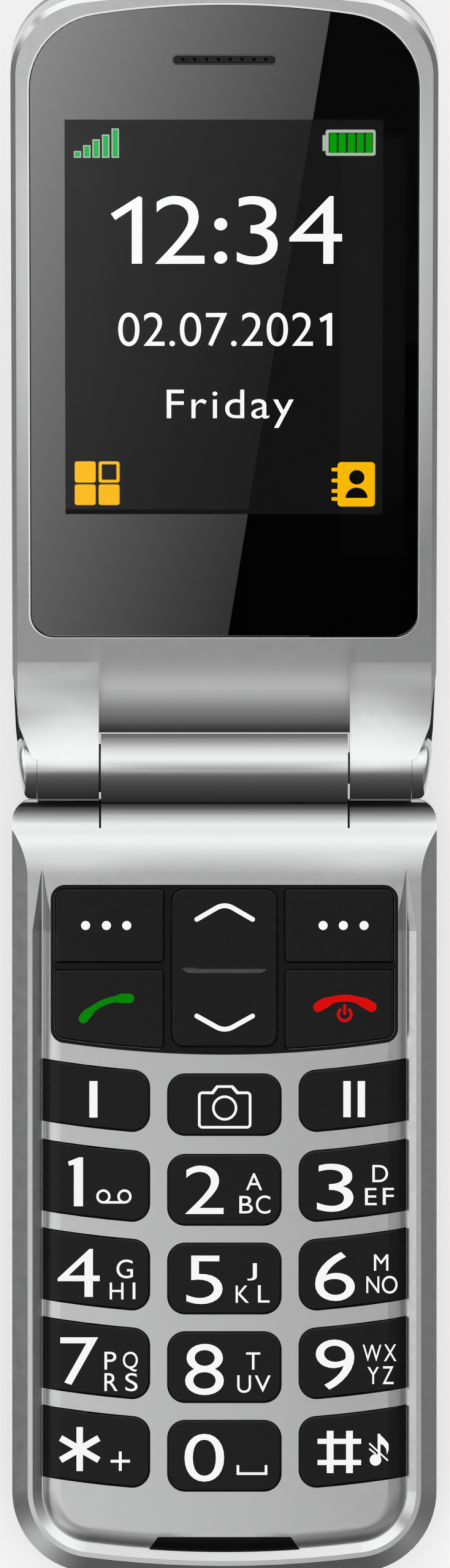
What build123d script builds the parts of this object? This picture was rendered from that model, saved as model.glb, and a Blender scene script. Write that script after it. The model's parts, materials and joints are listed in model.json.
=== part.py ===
from build123d import *

import math
import os

# A flip phone, modelled open. Two flat halves meet at a barrel hinge: the base carries the keypad and
# the battery, the lid carries the display. Both halves are drawn in the hinge frame, whose origin is
# the middle of the hinge axis, with X along the axis and Z out of the keypad. The base runs towards
# -Y. The lid is drawn lying flat towards +Y, and is then tilted up. In the end everything is moved
# so that the centre of the base's rest face is the origin. All sizes are in millimetres.

# ---- overall form -------------------------------------------------------------------------------
base_half_width = 26.0
base_length = 99.8  # hinge axis to the bottom end
base_thickness = 11.0  # hinge axis to the rest face
base_bow = 135.0  # radius of the bowed bottom end
lid_inset = 0.1  # the lid is this much narrower on each side
lid_thickness = 8.6  # hinge axis to the outer face
lid_bow = 130.0  # radius of the bowed tip
lid_tilt = 18.0  # degrees that the open lid leans up from flat
corner_radius = 10.0
base_gap = 0.2  # from the closing plane down to the keypad deck
lid_gap = 0.45  # from the closing plane down to the lid's face
wall = 1.4
snug = 0.05  # clearance of bonded and nested pieces
slip = 0.12  # clearance round a moving piece

# ---- hinge --------------------------------------------------------------------------------------
barrel_radius = 4.2
barrel_inset = 10.9  # from the side of the base to the end of the barrel
knuckle_radius = 3.8
knuckle_gap = 0.25  # between barrel and knuckle, along the axis
knuckle_inset = 3.1  # from the side of the base to the outer face of the knuckle
end_cap_height = 2.1
end_cap_bow = 42.0  # radius of the cap's bowed face
end_cap_lean = 8.5  # degrees that this face leans towards the base
end_cap_round = 0.8
end_cap_spigot = 1.5
end_cap_spigot_length = 2.0
hinge_clearance = 0.2  # from the knuckles to the end of the base
cradle_reach = 2.2  # from the axis to the ledges of the base under the knuckles
ramp_radius = 20.0  # the hollow that leads from the lid's face up to the knuckles
shoulder_round = 4.2  # rolls the base's shoulders down to its end face
bridge_round = 3.0  # the same, in front of the barrel
bridge_length = 3.4
lip_radius = 7.9  # rolls the lid's middle down behind the barrel
lip_start = 10.0
heel_angle = 125.0  # from the lid's plane round the knuckle to where the lid's heel leaves it
heel_round = 7.0
barrel_bore = 3.0
capsule_sink = 0.2
capsule_start = 2.5
capsule_wall = 0.6
shaft_square = 3.0
shaft_reach = 4.6  # into the lid's knuckle
shaft_hub_length = 4.0
bush_bore = 1.9
bush_in_knuckle = 3.6
bush_in_barrel = 5.0
ribbon_thickness = 0.15
ribbon_width = 5.0
ribbon_landing = 1.2  # of the ribbon on the main board

# ---- base: case ---------------------------------------------------------------------------------
case_split = 5.2  # depth of the line between front and rear housings
edge_slope_width = 1.9
edge_slope_height = 0.95
near_corner = 2.5  # plan corners at the hinge end
ridge_width = 0.6
groove_wall_width = 1.15
groove_floor_width = 0.1
groove_depth = 0.75
deck_roll_width = 2.2
groove_start = 20.0  # where the groove has its full depth
groove_ramp = 8.0  # over which it sinks from the deck
deck_thickness = 1.2
cavity_start = 9.5
back_round = 2.4
lip_height = 0.8
lip_thickness = 1.0

# ---- base: keypad -------------------------------------------------------------------------------
key_proud = 0.25
key_edge = 0.2
key_travel = 0.3
key_flange_thickness = 0.6
key_flange_width = 0.3
key_corner = 2.1
row_arc_radius = 135.0  # the rows sag along this arc
middle_key_half_width = 6.9
side_key_inner = 9.2
side_key_inset = 3.8  # from the side of the base to the outer edge of the key
memory_row_top = 37.55
memory_key_height = 7.45
number_row_top = 47.43
number_row_gap = 2.28
keypad_foot = 11.13  # from the last row to the bottom end
panel_inset = 4.75  # from the side of the base to the edge of the panel
panel_top = 14.35
panel_bottom = 35.12
panel_corner = 1.75
panel_plate = 0.7
panel_proud = 0.05
panel_ledge = 0.4
panel_margin = 0.5  # from the panel's edge to its keys
panel_rib = 0.95
soft_key_height = 8.95
soft_key_corner = 0.5
rocker_half_width = 6.47
rocker_corner = 1.5
rocker_bar_half_length = 5.2
rocker_bar_width = 1.3
rocker_bar_proud = 0.12
rocker_tab_half_length = 4.0
rocker_pivot_radius = 0.45
rocker_pivot_half_length = 3.0
rocker_press = 6.5  # from the pivot to each plunger
plunger_radius = 1.5
plunger_length = 0.5
mat_thickness = 0.45
mat_hole = 3.6
mat_start = 13.8
mat_foot = 9.4  # from the mat to the bottom end
dome_radius = 2.0
dome_height = 0.3
dome_film = 0.1
insert_foot = 3.6  # from the insert to the bottom end
insert_length = 1.8
insert_top_half_width = 8.1
insert_bottom_half_width = 9.2
insert_hole_radius = 0.3

# ---- base: inside -------------------------------------------------------------------------------
board_inset = 3.2
board_side = 5.6  # from the side of the base to the boards and the mat
board_start = 10.6
board_thickness = 0.8
board_lift = 0.7  # air between the board and the battery bay's roof
bay_roof = 0.6
bay_start = 30.0
bay_side = 7.8  # from the side of the base to the bay
bay_foot = 16.8  # from the bay to the bottom end
battery_play = 0.15
battery_round = 1.0
cover_start = 28.0
cover_wall_height = 3.0
cover_floor = 1.1
cover_wall = 1.25
cover_gap = 0.1
cover_rail_depth = 0.4
cover_rail_height = 0.5
cover_tab_width = 5.0
cover_tab_reach = 1.6
cover_tab_thickness = 0.5
cover_tab_offset = 12.0
cover_grips = 4
cover_grip_start = 4.8
cover_grip_pitch = 1.6
cover_grip_half_length = 7.0
cover_grip_width = 0.7
cover_grip_depth = 0.3
screw_inset = 3.8  # from the side of the base
screw_start = 33.0  # the first row
screw_foot = 11.8  # from the last row to the bottom end
screw_head_radius = 1.4
screw_head_height = 0.9
screw_shank_radius = 0.7
screw_slot = 0.4  # width and depth of the drive
boss_radius = 1.6
boss_height = 2.1
front_pocket_side = 6.0  # from the side of the base to the pocket behind the keypad's head
front_pocket_end = 27.0
side_pocket_inset = 6.6
speaker_length = 18.0
speaker_width = 12.6
speaker_height = 3.4
speaker_corner = 2.0
speaker_rim = 1.0
speaker_dish = 0.5
speaker_inset = 1.5  # from the side of the pocket
speaker_y = 19.0
speaker_slots = 5
speaker_slot_pitch = 1.9
speaker_slot_length = 9.0
speaker_slot_width = 0.8
motor_radius = 2.0
motor_length = 7.0
motor_weight_length = 2.6
motor_x = 4.0
motor_y = 17.0
shield_half_width = 11.0
shield_start = 12.0
shield_end = 26.0
shield_height = 1.6
shield_corner = 1.0
sim_width = 27.0
sim_length = 16.5
sim_start = 34.0
sim_height = 0.6
sim_step = 2.0
contact_half_width = 5.0
contact_start = 27.2
contact_height = 3.6
contact_blades = 3
contact_blade_width = 1.0
contact_blade_pitch = 3.0
usb_half_width = 4.5
usb_height = 3.2
usb_depth = 7.4
usb_wall = 0.35
usb_tongue = 0.7
usb_tongue_sink = 1.0
usb_corner = 1.2
tail_inset = 2.6
tail_pocket_foot = 14.2  # from the start of the pocket to the bottom end
tail_pocket_side = 6.8
antenna_height = 2.6
antenna_play = 0.4
antenna_notch = 5.6
antenna_notch_foot = 9.6
microphone_radius = 1.5
microphone_height = 1.3
microphone_foot = 4.8

# ---- lid ----------------------------------------------------------------------------------------
lid_split = 4.4  # depth of the line between inner and outer housings
lid_edge_slope = 0.6
ear_inset = 0.8  # the lid narrows towards the hinge by this much on each side
ear_y = 5.8
ear_foot = 0.9
shell_ear_inset = 0.35
shell_ear_y = 3.5
shell_ear_foot_inset = 0.7
ear_taper_start = 12.0
lens_inset = 2.25
lens_end_inset = 2.0
lens_near = 16.75
lens_near_corner = 2.9
lens_bow = 100.0
lens_corner = 9.5
lens_recess = 0.2
lens_thickness = 1.1
lens_edge = 0.12
bezel_chamfer = 0.4
lens_ledge_width = 1.2
lens_ledge_thickness = 0.6
slot_foot = 9.05  # from the middle of the slot to the tip of the lid
slot_length = 12.7
slot_width = 1.26
grille_sink = 0.35
grille_holes = 8
grille_hole_radius = 0.22
receiver_length = 13.0
receiver_width = 6.0
receiver_height = 2.0
receiver_corner = 1.0
display_side = 6.45  # from the side of the lid to the picture
display_start = 31.7
display_foot = 17.3  # from the picture to the tip of the lid
display_border = 1.0
display_tail = 4.0
display_thickness = 1.75
display_cover_glass = 0.6
bracket_thickness = 0.4
bracket_margin = 0.8
lid_board_thickness = 0.6
lid_board_start = 28.0
lid_board_foot = 15.8
lid_board_side = 5.4
lid_cavity_start = 13.0
shell_cavity_start = 6.5
lid_wall = 1.3
lid_back_round = 3.2
lid_screw_head_radius = 1.25
lid_screw_head_height = 0.5
lid_boss_radius = 1.9
outer_lens_half_width = 15.0
outer_lens_length = 23.0
outer_lens_gap = 6.0  # from the outer display's window to the camera's
outer_lens_corner = 2.5
outer_lens_thickness = 1.0
outer_display_half_width = 13.5
outer_display_half_length = 10.0
outer_display_height = 1.7
camera_foot = 22.8  # from the camera to the tip of the lid
camera_window_half_length = 8.0
camera_window_radius = 4.0
camera_window_thickness = 0.8
camera_offset = 3.6
camera_block = 6.6
camera_block_height = 1.6
camera_barrel_radius = 2.4
camera_sink = 0.3
lamp_radius = 1.2
magnet_radius = 1.2
magnet_height = 1.4
magnet_inset = 3.6  # from the side of the lid
magnet_foot = 29.8  # from the magnet to the tip of the lid

# ---- levels and places that follow from the sizes above -----------------------------------------
lid_half_width = base_half_width - lid_inset
lid_length = base_length
deck = -base_gap
key_top = deck + key_proud
deck_under = deck - deck_thickness
flange_top = deck_under - snug
flange_bottom = flange_top - key_flange_thickness
mat_top = flange_bottom - key_travel - snug
mat_bottom = mat_top - mat_thickness
plunger_bottom = flange_bottom - plunger_length
dome_top = plunger_bottom - key_travel - snug
board_top = dome_top - dome_height - dome_film
board_bottom = board_top - board_thickness
roof_top = board_bottom - board_lift
roof_bottom = roof_top - bay_roof
rest_face = -base_thickness
cover_top = rest_face + cover_wall_height
cover_inner = rest_face + cover_floor
split = -case_split
base_start = knuckle_radius + hinge_clearance
lid_face = -lid_gap
ramp_y = math.sqrt((knuckle_radius + ramp_radius) ** 2 - (ramp_radius - lid_gap) ** 2)
shoulder_radius = ramp_radius - lid_gap - base_gap
lens_top = lid_face - lens_recess
lens_under = lens_top - lens_thickness
ledge_under = lens_under - lens_ledge_thickness
display_top = lens_under - snug
display_under = display_top - display_thickness
bracket_under = display_under - snug - bracket_thickness
lid_board_top = bracket_under - snug
lid_board_under = lid_board_top - lid_board_thickness
lid_outer = -lid_thickness
lid_floor = lid_outer + lid_wall
lid_seam = -lid_split
groove_inset = edge_slope_width + ridge_width + groove_wall_width
barrel_half_length = base_half_width - barrel_inset
knuckle_start = barrel_half_length + knuckle_gap
knuckle_end = base_half_width - knuckle_inset
capsule_end = barrel_half_length - capsule_sink
ribbon_roll = bush_bore - snug
side_key_outer = base_half_width - side_key_inset
number_row_pitch = (base_length - keypad_foot - number_row_top + number_row_gap) / 4
number_key_height = number_row_pitch - number_row_gap
panel_half_width = base_half_width - panel_inset
soft_key_bottom = panel_top + panel_margin + soft_key_height
call_key_top = soft_key_bottom + panel_rib
rocker_top = panel_top + panel_margin
rocker_bottom = panel_bottom - panel_margin - panel_rib / 2
rocker_y = -(rocker_top + rocker_bottom) / 2
soft_key_inner = rocker_half_width + panel_rib
soft_key_outer = panel_half_width - panel_margin
column_x = (side_key_inner + side_key_outer) / 2
soft_column_x = (soft_key_inner + soft_key_outer) / 2
insert_bottom = base_length - insert_foot
insert_top = insert_bottom - insert_length
board_half_width = base_half_width - board_side
mat_half_width = board_half_width
mat_end = base_length - mat_foot
bay_half_width = base_half_width - bay_side
bay_end = base_length - bay_foot
screw_x = base_half_width - screw_inset
screw_end = base_length - screw_foot
screw_rows = (screw_start, (screw_start + screw_end) / 2, screw_end)
front_pocket_half_width = base_half_width - front_pocket_side
side_pocket_inner = base_half_width - side_pocket_inset
speaker_x = speaker_inset + speaker_length / 2 - front_pocket_half_width
usb_z = board_bottom - usb_height / 2
usb_face = base_length - wall
tail_pocket_start = base_length - tail_pocket_foot
tail_pocket_half_width = base_half_width - tail_pocket_side
antenna_notch_start = base_length - antenna_notch_foot
microphone_y = base_length - microphone_foot
ear_half_width = lid_half_width - ear_inset
slot_y = lid_length - slot_foot
display_half_width = lid_half_width - display_side
display_end = lid_length - display_foot
lid_board_end = lid_length - lid_board_foot
lid_board_half_width = lid_half_width - lid_board_side
camera_y = lid_length - camera_foot
outer_lens_y = camera_y - camera_window_radius - outer_lens_gap - outer_lens_length / 2
magnet_x = lid_half_width - magnet_inset
magnet_y = lid_length - magnet_foot
soft_keys = ("key_menu_left", "key_call", "key_menu_right", "key_end")


# ---- helpers ------------------------------------------------------------------------------------
def box(x0, x1, y0, y1, z0, z1):
    """A block between two opposite corners."""
    centre = Pos((x0 + x1) / 2, (y0 + y1) / 2, (z0 + z1) / 2)
    return centre * Box(abs(x1 - x0), abs(y1 - y0), abs(z1 - z0))


def rise(face, z0, z1):
    """A plan face extruded from level z0 up to level z1."""
    return extrude(Pos(0, 0, z0) * face, z1 - z0, dir=(0, 0, 1))


def across(face, x0, x1):
    """A side view, drawn as (y, z), extruded along X from x0 to x1."""
    return extrude(Plane.YZ.offset(x0) * face, x1 - x0, dir=(1, 0, 0))


def rod(radius, x0, x1, y=0.0, z=0.0):
    """A round bar along X."""
    return Pos((x0 + x1) / 2, y, z) * Rot(0, 90, 0) * Cylinder(radius, abs(x1 - x0))


def post(radius, x, y, z0, z1):
    """A round bar along Z."""
    return Pos(x, y, (z0 + z1) / 2) * Cylinder(radius, z1 - z0)


def grown(face, amount):
    """A plan face grown by an even margin all round."""
    return offset(face, amount, kind=Kind.INTERSECTION)


def tapered(lower, z0, upper, z1):
    """A solid between a plan face at z0 and a like plan face at z1."""
    return loft([(Pos(0, 0, z0) * lower).face(), (Pos(0, 0, z1) * upper).face()], ruled=True)


def sag(x):
    """How far the arc of a key row has risen at x."""
    return row_arc_radius - math.sqrt(row_arc_radius**2 - x * x)


def bowed_plan(half_width, length, bow, corner, near):
    """Plan face with a bowed far end and round corners, closed by the points of near at its foot."""
    corner_y = length - bow + math.sqrt(bow * bow - half_width * half_width)
    right = [(half_width, corner_y), *near]
    left = [(-x, y) for x, y in reversed(right)]
    face = make_face(Polyline(*right, *left) + ThreePointArc(left[-1], (0, length), right[0]))
    far_corners = [v for v in face.vertices() if abs(v.Y - corner_y) < 1e-6]
    return fillet(far_corners, corner)


def base_plan(inset=0.0, start=0.0):
    """Plan face of the base, inset from its outline, beginning at a distance from the hinge axis."""
    half_width = base_half_width - inset
    foot = [(half_width, start)]
    face = bowed_plan(half_width, base_length - inset, base_bow - inset, corner_radius - inset, foot)
    return mirror(face, Plane.XZ)


def lid_plan(inset=0.0, start=-2 * knuckle_radius):
    """Plan face of the lid, inset from its outline, beginning at a distance from the hinge axis."""
    half_width = lid_half_width - inset
    foot = [(half_width, start)]
    return bowed_plan(half_width, lid_length - inset, lid_bow - inset, corner_radius - inset, foot)


def waisted_lid_plan(waist):
    """Plan face of the lid that narrows at the hinge through the points of waist."""
    foot = [(lid_half_width, ear_taper_start), *waist, (waist[-1][0], -2 * knuckle_radius)]
    face = bowed_plan(lid_half_width, lid_length, lid_bow, corner_radius, foot)
    bends = [v for v in face.vertices() if abs(v.Y - waist[0][1]) < 1e-6]
    return fillet(bends, ear_y / 2)


def lens_plan(inset=0.0):
    """Plan face of the display lens."""
    half_width = lid_half_width - lens_inset - inset
    length = lid_length - lens_end_inset - inset
    foot = [(half_width, lens_near + inset)]
    face = bowed_plan(half_width, length, lens_bow - inset, lens_corner - inset, foot)
    near_corners = face.vertices().sort_by(Axis.Y)[:2]
    return fillet(near_corners, lens_near_corner - inset)


# ---- keys ---------------------------------------------------------------------------------------
def side_key_plan(side, top, height):
    """A key of an outer column: straight flanks between two sagging arcs."""
    x_in = side * side_key_inner
    x_out = side * side_key_outer
    places = (x_in, (x_in + x_out) / 2, x_out)
    upper = [(x, sag(x) - top) for x in places]
    lower = [(x, sag(x) - top - height) for x in places]
    outline = ThreePointArc(*upper) + ThreePointArc(*lower)
    outline += Line(upper[0], lower[0]) + Line(upper[2], lower[2])
    face = make_face(outline)
    inner = [v for v in face.vertices() if abs(v.X - x_in) < 1e-6]
    return fillet(inner, key_corner)


def middle_key_plan(top, height):
    """A key of the middle column."""
    return Pos(0, -top - height / 2) * RectangleRounded(2 * middle_key_half_width, height, key_corner)


def sagging_plan(half_width, head, foot):
    """Plan face that is straight at its head and sags like the key rows at its foot."""
    right, left = (half_width, foot + sag(half_width)), (-half_width, foot + sag(half_width))
    sides = Polyline(left, (-half_width, head), (half_width, head), right)
    return make_face(sides + ThreePointArc(right, (0, foot), left))


def panel_plan(inset=0.0):
    """The keypad's upper panel."""
    face = sagging_plan(panel_half_width - inset, -panel_top - inset, inset - panel_bottom)
    return fillet(face.vertices(), panel_corner - inset)


def soft_key_plan(side, top, bottom):
    """A key in an outer column of the upper panel."""
    width = panel_half_width - soft_key_inner
    place = Pos(side * (soft_key_inner + width / 2), -(top + bottom) / 2)
    face = (panel_plan(panel_margin) & place * Rectangle(width, bottom - top)).face()
    inner = [v for v in face.vertices() if abs(abs(v.X) - soft_key_inner) < 1e-6]
    return fillet(inner, soft_key_corner)


def rocker_plan():
    """The up and down rocker in the middle of the upper panel."""
    height = rocker_bottom - rocker_top
    return Pos(0, rocker_y) * RectangleRounded(2 * rocker_half_width, height, rocker_corner)


def key_table():
    """Every sliding key: its name, its plan face and the place of its plunger."""
    table = {}
    upper_y = -(rocker_top + soft_key_bottom) / 2
    lower_y = -(call_key_top + panel_bottom - panel_margin - sag(soft_column_x)) / 2
    for side, upper, lower in ((-1, "key_menu_left", "key_call"), (1, "key_menu_right", "key_end")):
        x = side * soft_column_x
        table[upper] = (soft_key_plan(side, 0, soft_key_bottom), (x, upper_y))
        table[lower] = (soft_key_plan(side, call_key_top, base_length), (x, lower_y))
    rows = [("key_memory_one", "key_camera", "key_memory_two", memory_row_top, memory_key_height)]
    for i, names in enumerate(("123", "456", "789", ("star", "0", "hash"))):
        left, middle, right = [f"key_{name}" for name in names]
        rows.append((left, middle, right, number_row_top + i * number_row_pitch, number_key_height))
    for left, middle, right, top, height in rows:
        y = -top - height / 2
        table[left] = (side_key_plan(-1, top, height), (-column_x, y + sag(column_x)))
        table[middle] = (middle_key_plan(top, height), (0, y))
        table[right] = (side_key_plan(1, top, height), (column_x, y + sag(column_x)))
    return table


def groove_cut(lift=0.0):
    """The moat between the rim's ridge and the deck, with the rolled edge of the deck, as a cutter."""
    edges = base_plan(groove_inset, groove_start).edges()
    path = Wire([e for e in edges if abs(e.center().Y + groove_start) > 1e-6])
    start = path @ 0
    side = math.copysign(1, start.X)
    plane = Plane(origin=(start.X, start.Y, deck + lift), z_dir=(0, side, 0), x_dir=(-side, 0, 0))
    above = 4 * key_proud
    lean = groove_wall_width / groove_depth * above
    foot = (groove_floor_width, -groove_depth)
    head = (groove_floor_width + deck_roll_width, 0)
    roll = TangentArc(head, foot, tangent=(-1, 0))
    rest = Polyline(foot, (0, -groove_depth), (-groove_wall_width - lean, above), (head[0], above), head)
    section = plane * make_face(rest + roll)
    ramp = extrude(section, math.hypot(groove_ramp, groove_depth), dir=(0, groove_ramp, groove_depth))
    return sweep(section, path=path) + [ramp, mirror(ramp, Plane.YZ)]


def plungers(places):
    """The stubs that press the domes."""
    return [post(plunger_radius, x, y, plunger_bottom, flange_bottom) for x, y in places]


def make_key(face, place, groove):
    """A keycap with its flange below the deck and its plunger over the dome."""
    cap = rise(face, flange_top, key_top)
    cap = fillet(cap.faces().sort_by(Axis.Z)[-1].edges(), key_edge) - groove
    flange = rise(grown(face, key_flange_width), flange_bottom, flange_top)
    return cap + flange + plungers([place])


def rocker_places():
    """Where the rocker's two plungers stand."""
    return [(0, rocker_y + step) for step in (rocker_press, -rocker_press)]


def make_rocker():
    """The rocker key, which tips about a round rib on its underside."""
    cap = rise(rocker_plan(), flange_bottom, key_top)
    cap = fillet(cap.faces().sort_by(Axis.Z)[-1].edges(), key_edge)
    bar_face = Pos(0, rocker_y) * SlotOverall(2 * rocker_bar_half_length, rocker_bar_width)
    bar = rise(bar_face, key_top - key_edge, key_top + rocker_bar_proud)
    reach = rocker_half_width + key_flange_width
    near, far = rocker_y + rocker_tab_half_length, rocker_y - rocker_tab_half_length
    tabs = box(-reach, reach, far, near, flange_bottom, flange_top - key_flange_width)
    half = rocker_pivot_half_length
    rib = rod(rocker_pivot_radius, -half, half, rocker_y, flange_bottom)
    return cap + bar + tabs + rib + plungers(rocker_places())


# ---- base: front housing ------------------------------------------------------------------------
def side_profile(end_round):
    """Side view of the base's top: flat deck, shoulder arc and the roll down to the end face."""
    centre_y, centre_z = -ramp_y, deck - shoulder_radius
    roll_y = -base_start - end_round
    roll_z = centre_z + math.sqrt((shoulder_radius - end_round) ** 2 - (roll_y - centre_y) ** 2)
    share = shoulder_radius / (shoulder_radius - end_round)
    meet = (centre_y + (roll_y - centre_y) * share, centre_z + (roll_z - centre_z) * share)
    heading = (meet[1] - centre_z, centre_y - meet[0])
    start = (centre_y, deck)
    end = (-base_start, roll_z)
    shoulder = TangentArc(start, meet, tangent=(1, 0)) + TangentArc(meet, end, tangent=heading)
    low, far = 2 * rest_face, -2 * base_length
    return make_face(shoulder + Polyline(end, (-base_start, low), (far, low), (far, deck), start))


def rounded_base_plan():
    """The base's outline with its corners at the hinge end rounded."""
    face = base_plan(start=base_start)
    return fillet(face.vertices().sort_by(Axis.Y)[-2:], near_corner)


def front_form():
    """Outer form of the front housing, with the barrel, its bridge and the ledges under the knuckles."""
    slope_foot = deck - edge_slope_height
    form = rise(base_plan(), split - wall, slope_foot)
    form += tapered(base_plan(), slope_foot, base_plan(edge_slope_width), deck)
    form = form & across(side_profile(shoulder_round), -base_half_width, base_half_width)
    form = form & rise(rounded_base_plan(), split, deck)
    reach = -base_start - bridge_length
    form -= box(-knuckle_start, knuckle_start, reach, 0, split, deck)
    bridge = across(side_profile(bridge_round), -barrel_half_length, barrel_half_length)
    bridge = bridge & box(-barrel_half_length, barrel_half_length, reach, -base_start, split, deck)
    back, top = -base_start - snug, split / 2
    chin = Polyline((0, top), (back, top), (back, split), (-bush_bore, split), (0, -barrel_radius), (0, top))
    neck = across(make_face(chin), -barrel_half_length, barrel_half_length)
    for side in (-1, 1):
        x0, x1 = side * knuckle_start, side * knuckle_end
        ledge = box(x0, x1, back, -cradle_reach, split, top)
        form += ledge - rod(knuckle_radius + hinge_clearance, x0, x1)
    return form + bridge + neck + rod(barrel_radius, -barrel_half_length, barrel_half_length)


def insert_plan(inset=0.0):
    """The dark insert at the foot of the deck that covers the microphone."""
    top, bottom = -insert_top - inset, inset - insert_bottom
    narrow, wide = insert_top_half_width - inset, insert_bottom_half_width - inset
    right, left = (wide, bottom + sag(wide)), (-wide, bottom + sag(wide))
    sides = Polyline(left, (-narrow, top), (narrow, top), right)
    return make_face(sides + ThreePointArc(right, (0, bottom), left))


def usb_tunnel():
    """The mouth of the charging port through the bottom end."""
    face = RectangleRounded(2 * (usb_half_width + slip), usb_height + 2 * slip, usb_corner)
    plane = Plane(origin=(0, wall - usb_face, usb_z), z_dir=(0, -1, 0), x_dir=(1, 0, 0))
    return extrude(plane * face, 3 * wall, dir=(0, -1, 0))


def case_screw_places():
    """Both screws of every row."""
    return [(side * screw_x, -y) for y in screw_rows for side in (-1, 1)]


def ribbon_slot():
    """The way of the ribbon cable out of the barrel and under the bridge."""
    low = board_bottom - ribbon_thickness - slip
    x0, x1 = -ribbon_width - slip, slip
    y1 = ribbon_thickness + slip - ribbon_roll
    down = box(x0, x1, -ribbon_roll - slip, y1, low, -ribbon_thickness)
    along = box(x0, x1, -cavity_start - snug, y1, low, board_bottom + slip)
    return down + along


def make_front_housing(keys, groove):
    """The silver housing round the keypad, with the barrel of the hinge."""
    housing = front_form() - groove - rod(barrel_bore, -base_half_width, base_half_width)
    housing -= rise(base_plan(wall, cavity_start), split, deck_under)
    for name, (face, _) in keys.items():
        if name not in soft_keys:
            housing -= rise(grown(face, slip), deck_under, key_top)
    housing -= rise(panel_plan(-snug), deck - panel_plate, key_top)
    housing -= rise(panel_plan(panel_ledge), deck_under, key_top)
    housing -= rise(insert_plan(-snug), deck_under, key_top)
    foot, top = split + snug, split + boss_height
    half = boss_radius / 2
    for x, y in case_screw_places():
        rim = math.copysign(base_half_width - wall / 2, x)
        housing = housing + post(boss_radius, x, y, foot, top) + box(x, rim, y - half, y + half, foot, top)
        housing -= post(screw_shank_radius + snug, x, y, split, top - wall / 4)
    return housing - ribbon_slot() - usb_tunnel()


# ---- base: rear housing and cover ---------------------------------------------------------------
def rear_form():
    """Outer form of everything below the split line."""
    form = rise(rounded_base_plan(), rest_face, split)
    return fillet(form.faces().sort_by(Axis.Z)[0].edges(), back_round)


def cover_zone(gap=0.0):
    """The space of the battery cover: the back, from its front edge to the bottom end."""
    side, far = base_half_width + wall, -base_length - wall
    return box(-side, side, far, gap - cover_start, rest_face - wall, cover_top + gap)


def cover_tabs(gap=0.0):
    """The two tabs that hook the cover's front edge into the rear housing."""
    half = cover_tab_width / 2 + gap
    far, near = -cover_start - cover_tab_reach, cover_tab_reach + gap - cover_start
    bottom, top = cover_inner - cover_tab_thickness - gap, cover_inner + gap
    return [box(x - half, x + half, far, near, bottom, top) for x in (-cover_tab_offset, cover_tab_offset)]


def cover_rails(near, far, gap=0.0):
    """The lips inside the cover's walls, which run in grooves of the rear housing."""
    top = cover_top - 2 * cover_gap + gap
    bottom = top - cover_rail_height - 2 * gap
    inner = base_half_width - cover_wall - cover_rail_depth - gap
    outer = base_half_width - cover_wall / 2
    return [box(side * inner, side * outer, -far, -near, bottom, top) for side in (-1, 1)]


def make_battery_cover():
    """The back cover: a shallow tray that slides off towards the bottom end."""
    tray = rear_form() & cover_zone()
    tray -= rise(base_plan(cover_wall, cover_start - wall), cover_inner, cover_top)
    tray = tray + cover_rails(cover_start + corner_radius, base_length - corner_radius) + cover_tabs()
    half_length, half_width = cover_grip_half_length, cover_grip_width / 2
    for i in range(cover_grips):
        y = -cover_start - cover_grip_start - i * cover_grip_pitch
        far, near = y - half_width, y + half_width
        tray -= box(-half_length, half_length, far, near, rest_face, rest_face + cover_grip_depth)
    return tray


def rear_lip():
    """The lip of the rear housing that stands inside the front one, broken round the screw bosses."""
    top = split + lip_height
    outer, start = wall + cover_gap, cavity_start + cover_gap
    lip = rise(base_plan(outer, start), split, top)
    lip -= rise(base_plan(outer + lip_thickness, start + lip_thickness), split, top)
    room = boss_radius + cover_gap
    for x, y in case_screw_places():
        rim = math.copysign(base_half_width, x)
        lip = lip - post(room, x, y, split, top) - box(x, rim, y - room, y + room, split, top)
    return lip


def tail_plan(inset=0.0):
    """Plan of the pocket in the tail, for the antenna and the charging port."""
    band = Pos(0, -base_length / 2) * Rectangle(2 * (tail_pocket_half_width - inset), 2 * base_length)
    return base_plan(tail_inset + inset, tail_pocket_start + inset) & band


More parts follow.
